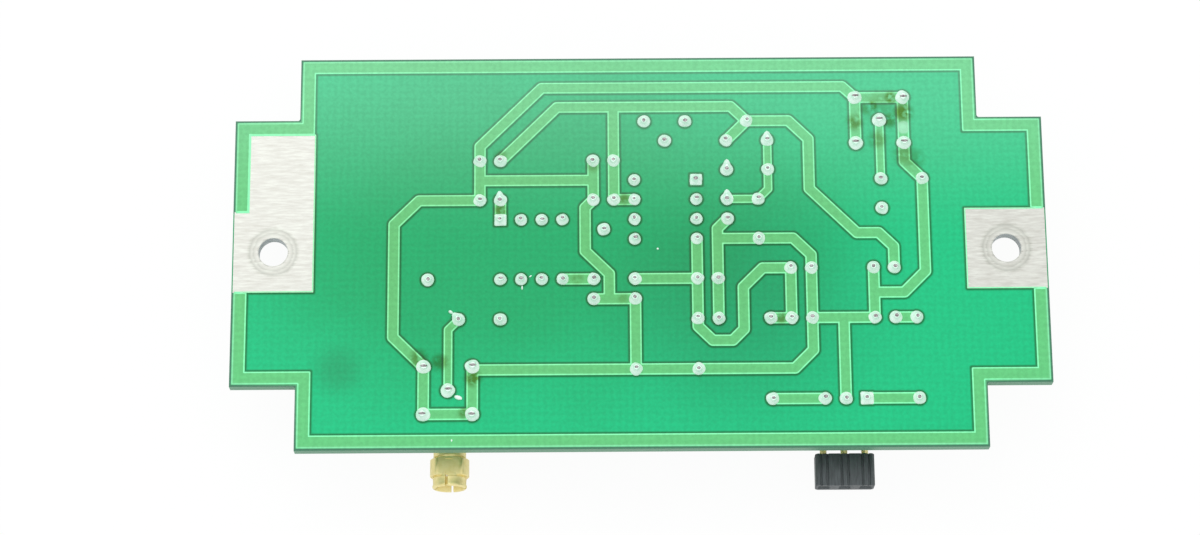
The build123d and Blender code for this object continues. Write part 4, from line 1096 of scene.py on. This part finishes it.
# --- Stage, light and camera ------------------------------------------------------------------
# A white floor that keeps a faint shadow, a white tent of light and one broad lamp to the left.
floor_level = cad_box[0].z
reach = 1.5
bm = bmesh.new()
corners = ((-reach, -reach), (reach, -reach), (reach, reach), (-reach, reach))
bm.faces.new([bm.verts.new((x, y, floor_level)) for x, y in corners])
floor_mesh = bpy.data.meshes.new("floor")
bm.to_mesh(floor_mesh)
bm.free()
floor = bpy.data.objects.new("floor", floor_mesh)
bpy.context.scene.collection.objects.link(floor)
floor_finish, tree, mm = new_finish("white_floor")
paper = add(tree, "TexNoise", {"Vector": mm, "Scale": 0.05, "Detail": 2.0})
tone = add(tree, "ValToRGB", {"Fac": paper})
colour_stops(tone, [(0.0, "#FCFFFE"), (1.0, "#FFFFFF")])
matt = add(tree, "BsdfDiffuse", {"Color": tone})
bright = add(tree, "Emission", {"Color": paint("#FFFFFF"), "Strength": 1.0})


def seen_itself(tree):
    """One for rays that show the white, in the view or mirrored in metal; zero for the light it gives."""
    rays = add(tree, "LightPath")
    seen = add(tree, "Math", {0: rays.outputs["Is Camera Ray"], 1: rays.outputs["Is Glossy Ray"]},
               operation="MAXIMUM")
    return add(tree, "Math", {0: seen, 1: rays.outputs["Is Transmission Ray"]}, operation="MAXIMUM")


part = add(tree, "Math", {0: seen_itself(tree), 1: 0.95}, operation="MULTIPLY")
both = add(tree, "MixShader", {0: part, 1: matt, 2: bright})
add(tree, "OutputMaterial", {"Surface": both})
floor_mesh.materials.append(floor_finish)

world = bpy.data.worlds.new("white_tent")
bpy.context.scene.world = world
world.use_nodes = True
tree = world.node_tree
tree.nodes.clear()
strength = add(tree, "MapRange", {"Value": seen_itself(tree), "To Min": 0.9, "To Max": 1.0})
tent = add(tree, "Background", {"Color": paint("#FEFFFF"), "Strength": strength})
add(tree, "OutputWorld", {"Surface": tent})

lamp_data = bpy.data.lights.new("soft_lamp", "AREA")
lamp_data.shape = "DISK"
lamp_data.size = 0.5
lamp_data.energy = 1.0
lamp = bpy.data.objects.new("soft_lamp", lamp_data)
lamp.location = (-0.12, 0.32, 0.45)
lamp.rotation_euler = (-lamp.location).to_track_quat("-Z", "Y").to_euler()
bpy.context.scene.collection.objects.link(lamp)

camera_data = bpy.data.cameras.new("camera")
camera_data.sensor_fit = "HORIZONTAL"
camera_data.sensor_width = 36.0
camera_data.lens = 97.4
camera_data.clip_start = 0.01
camera = bpy.data.objects.new("camera", camera_data)
# Seen from almost straight above, 0.4 m away: the camera's own axes and its place.
right, up = (0.999976, -0.006799, 0.001316), (0.006149, 0.959126, 0.282912)
back, spot = (-0.003185, -0.282897, 0.959145), (-0.006181, -0.114745, 0.383174)
camera.matrix_world = Matrix([(right[i], up[i], back[i], spot[i]) for i in range(3)] + [(0, 0, 0, 1)])
bpy.context.scene.collection.objects.link(camera)
bpy.context.scene.camera = camera
bpy.context.scene.view_settings.view_transform = "Standard"
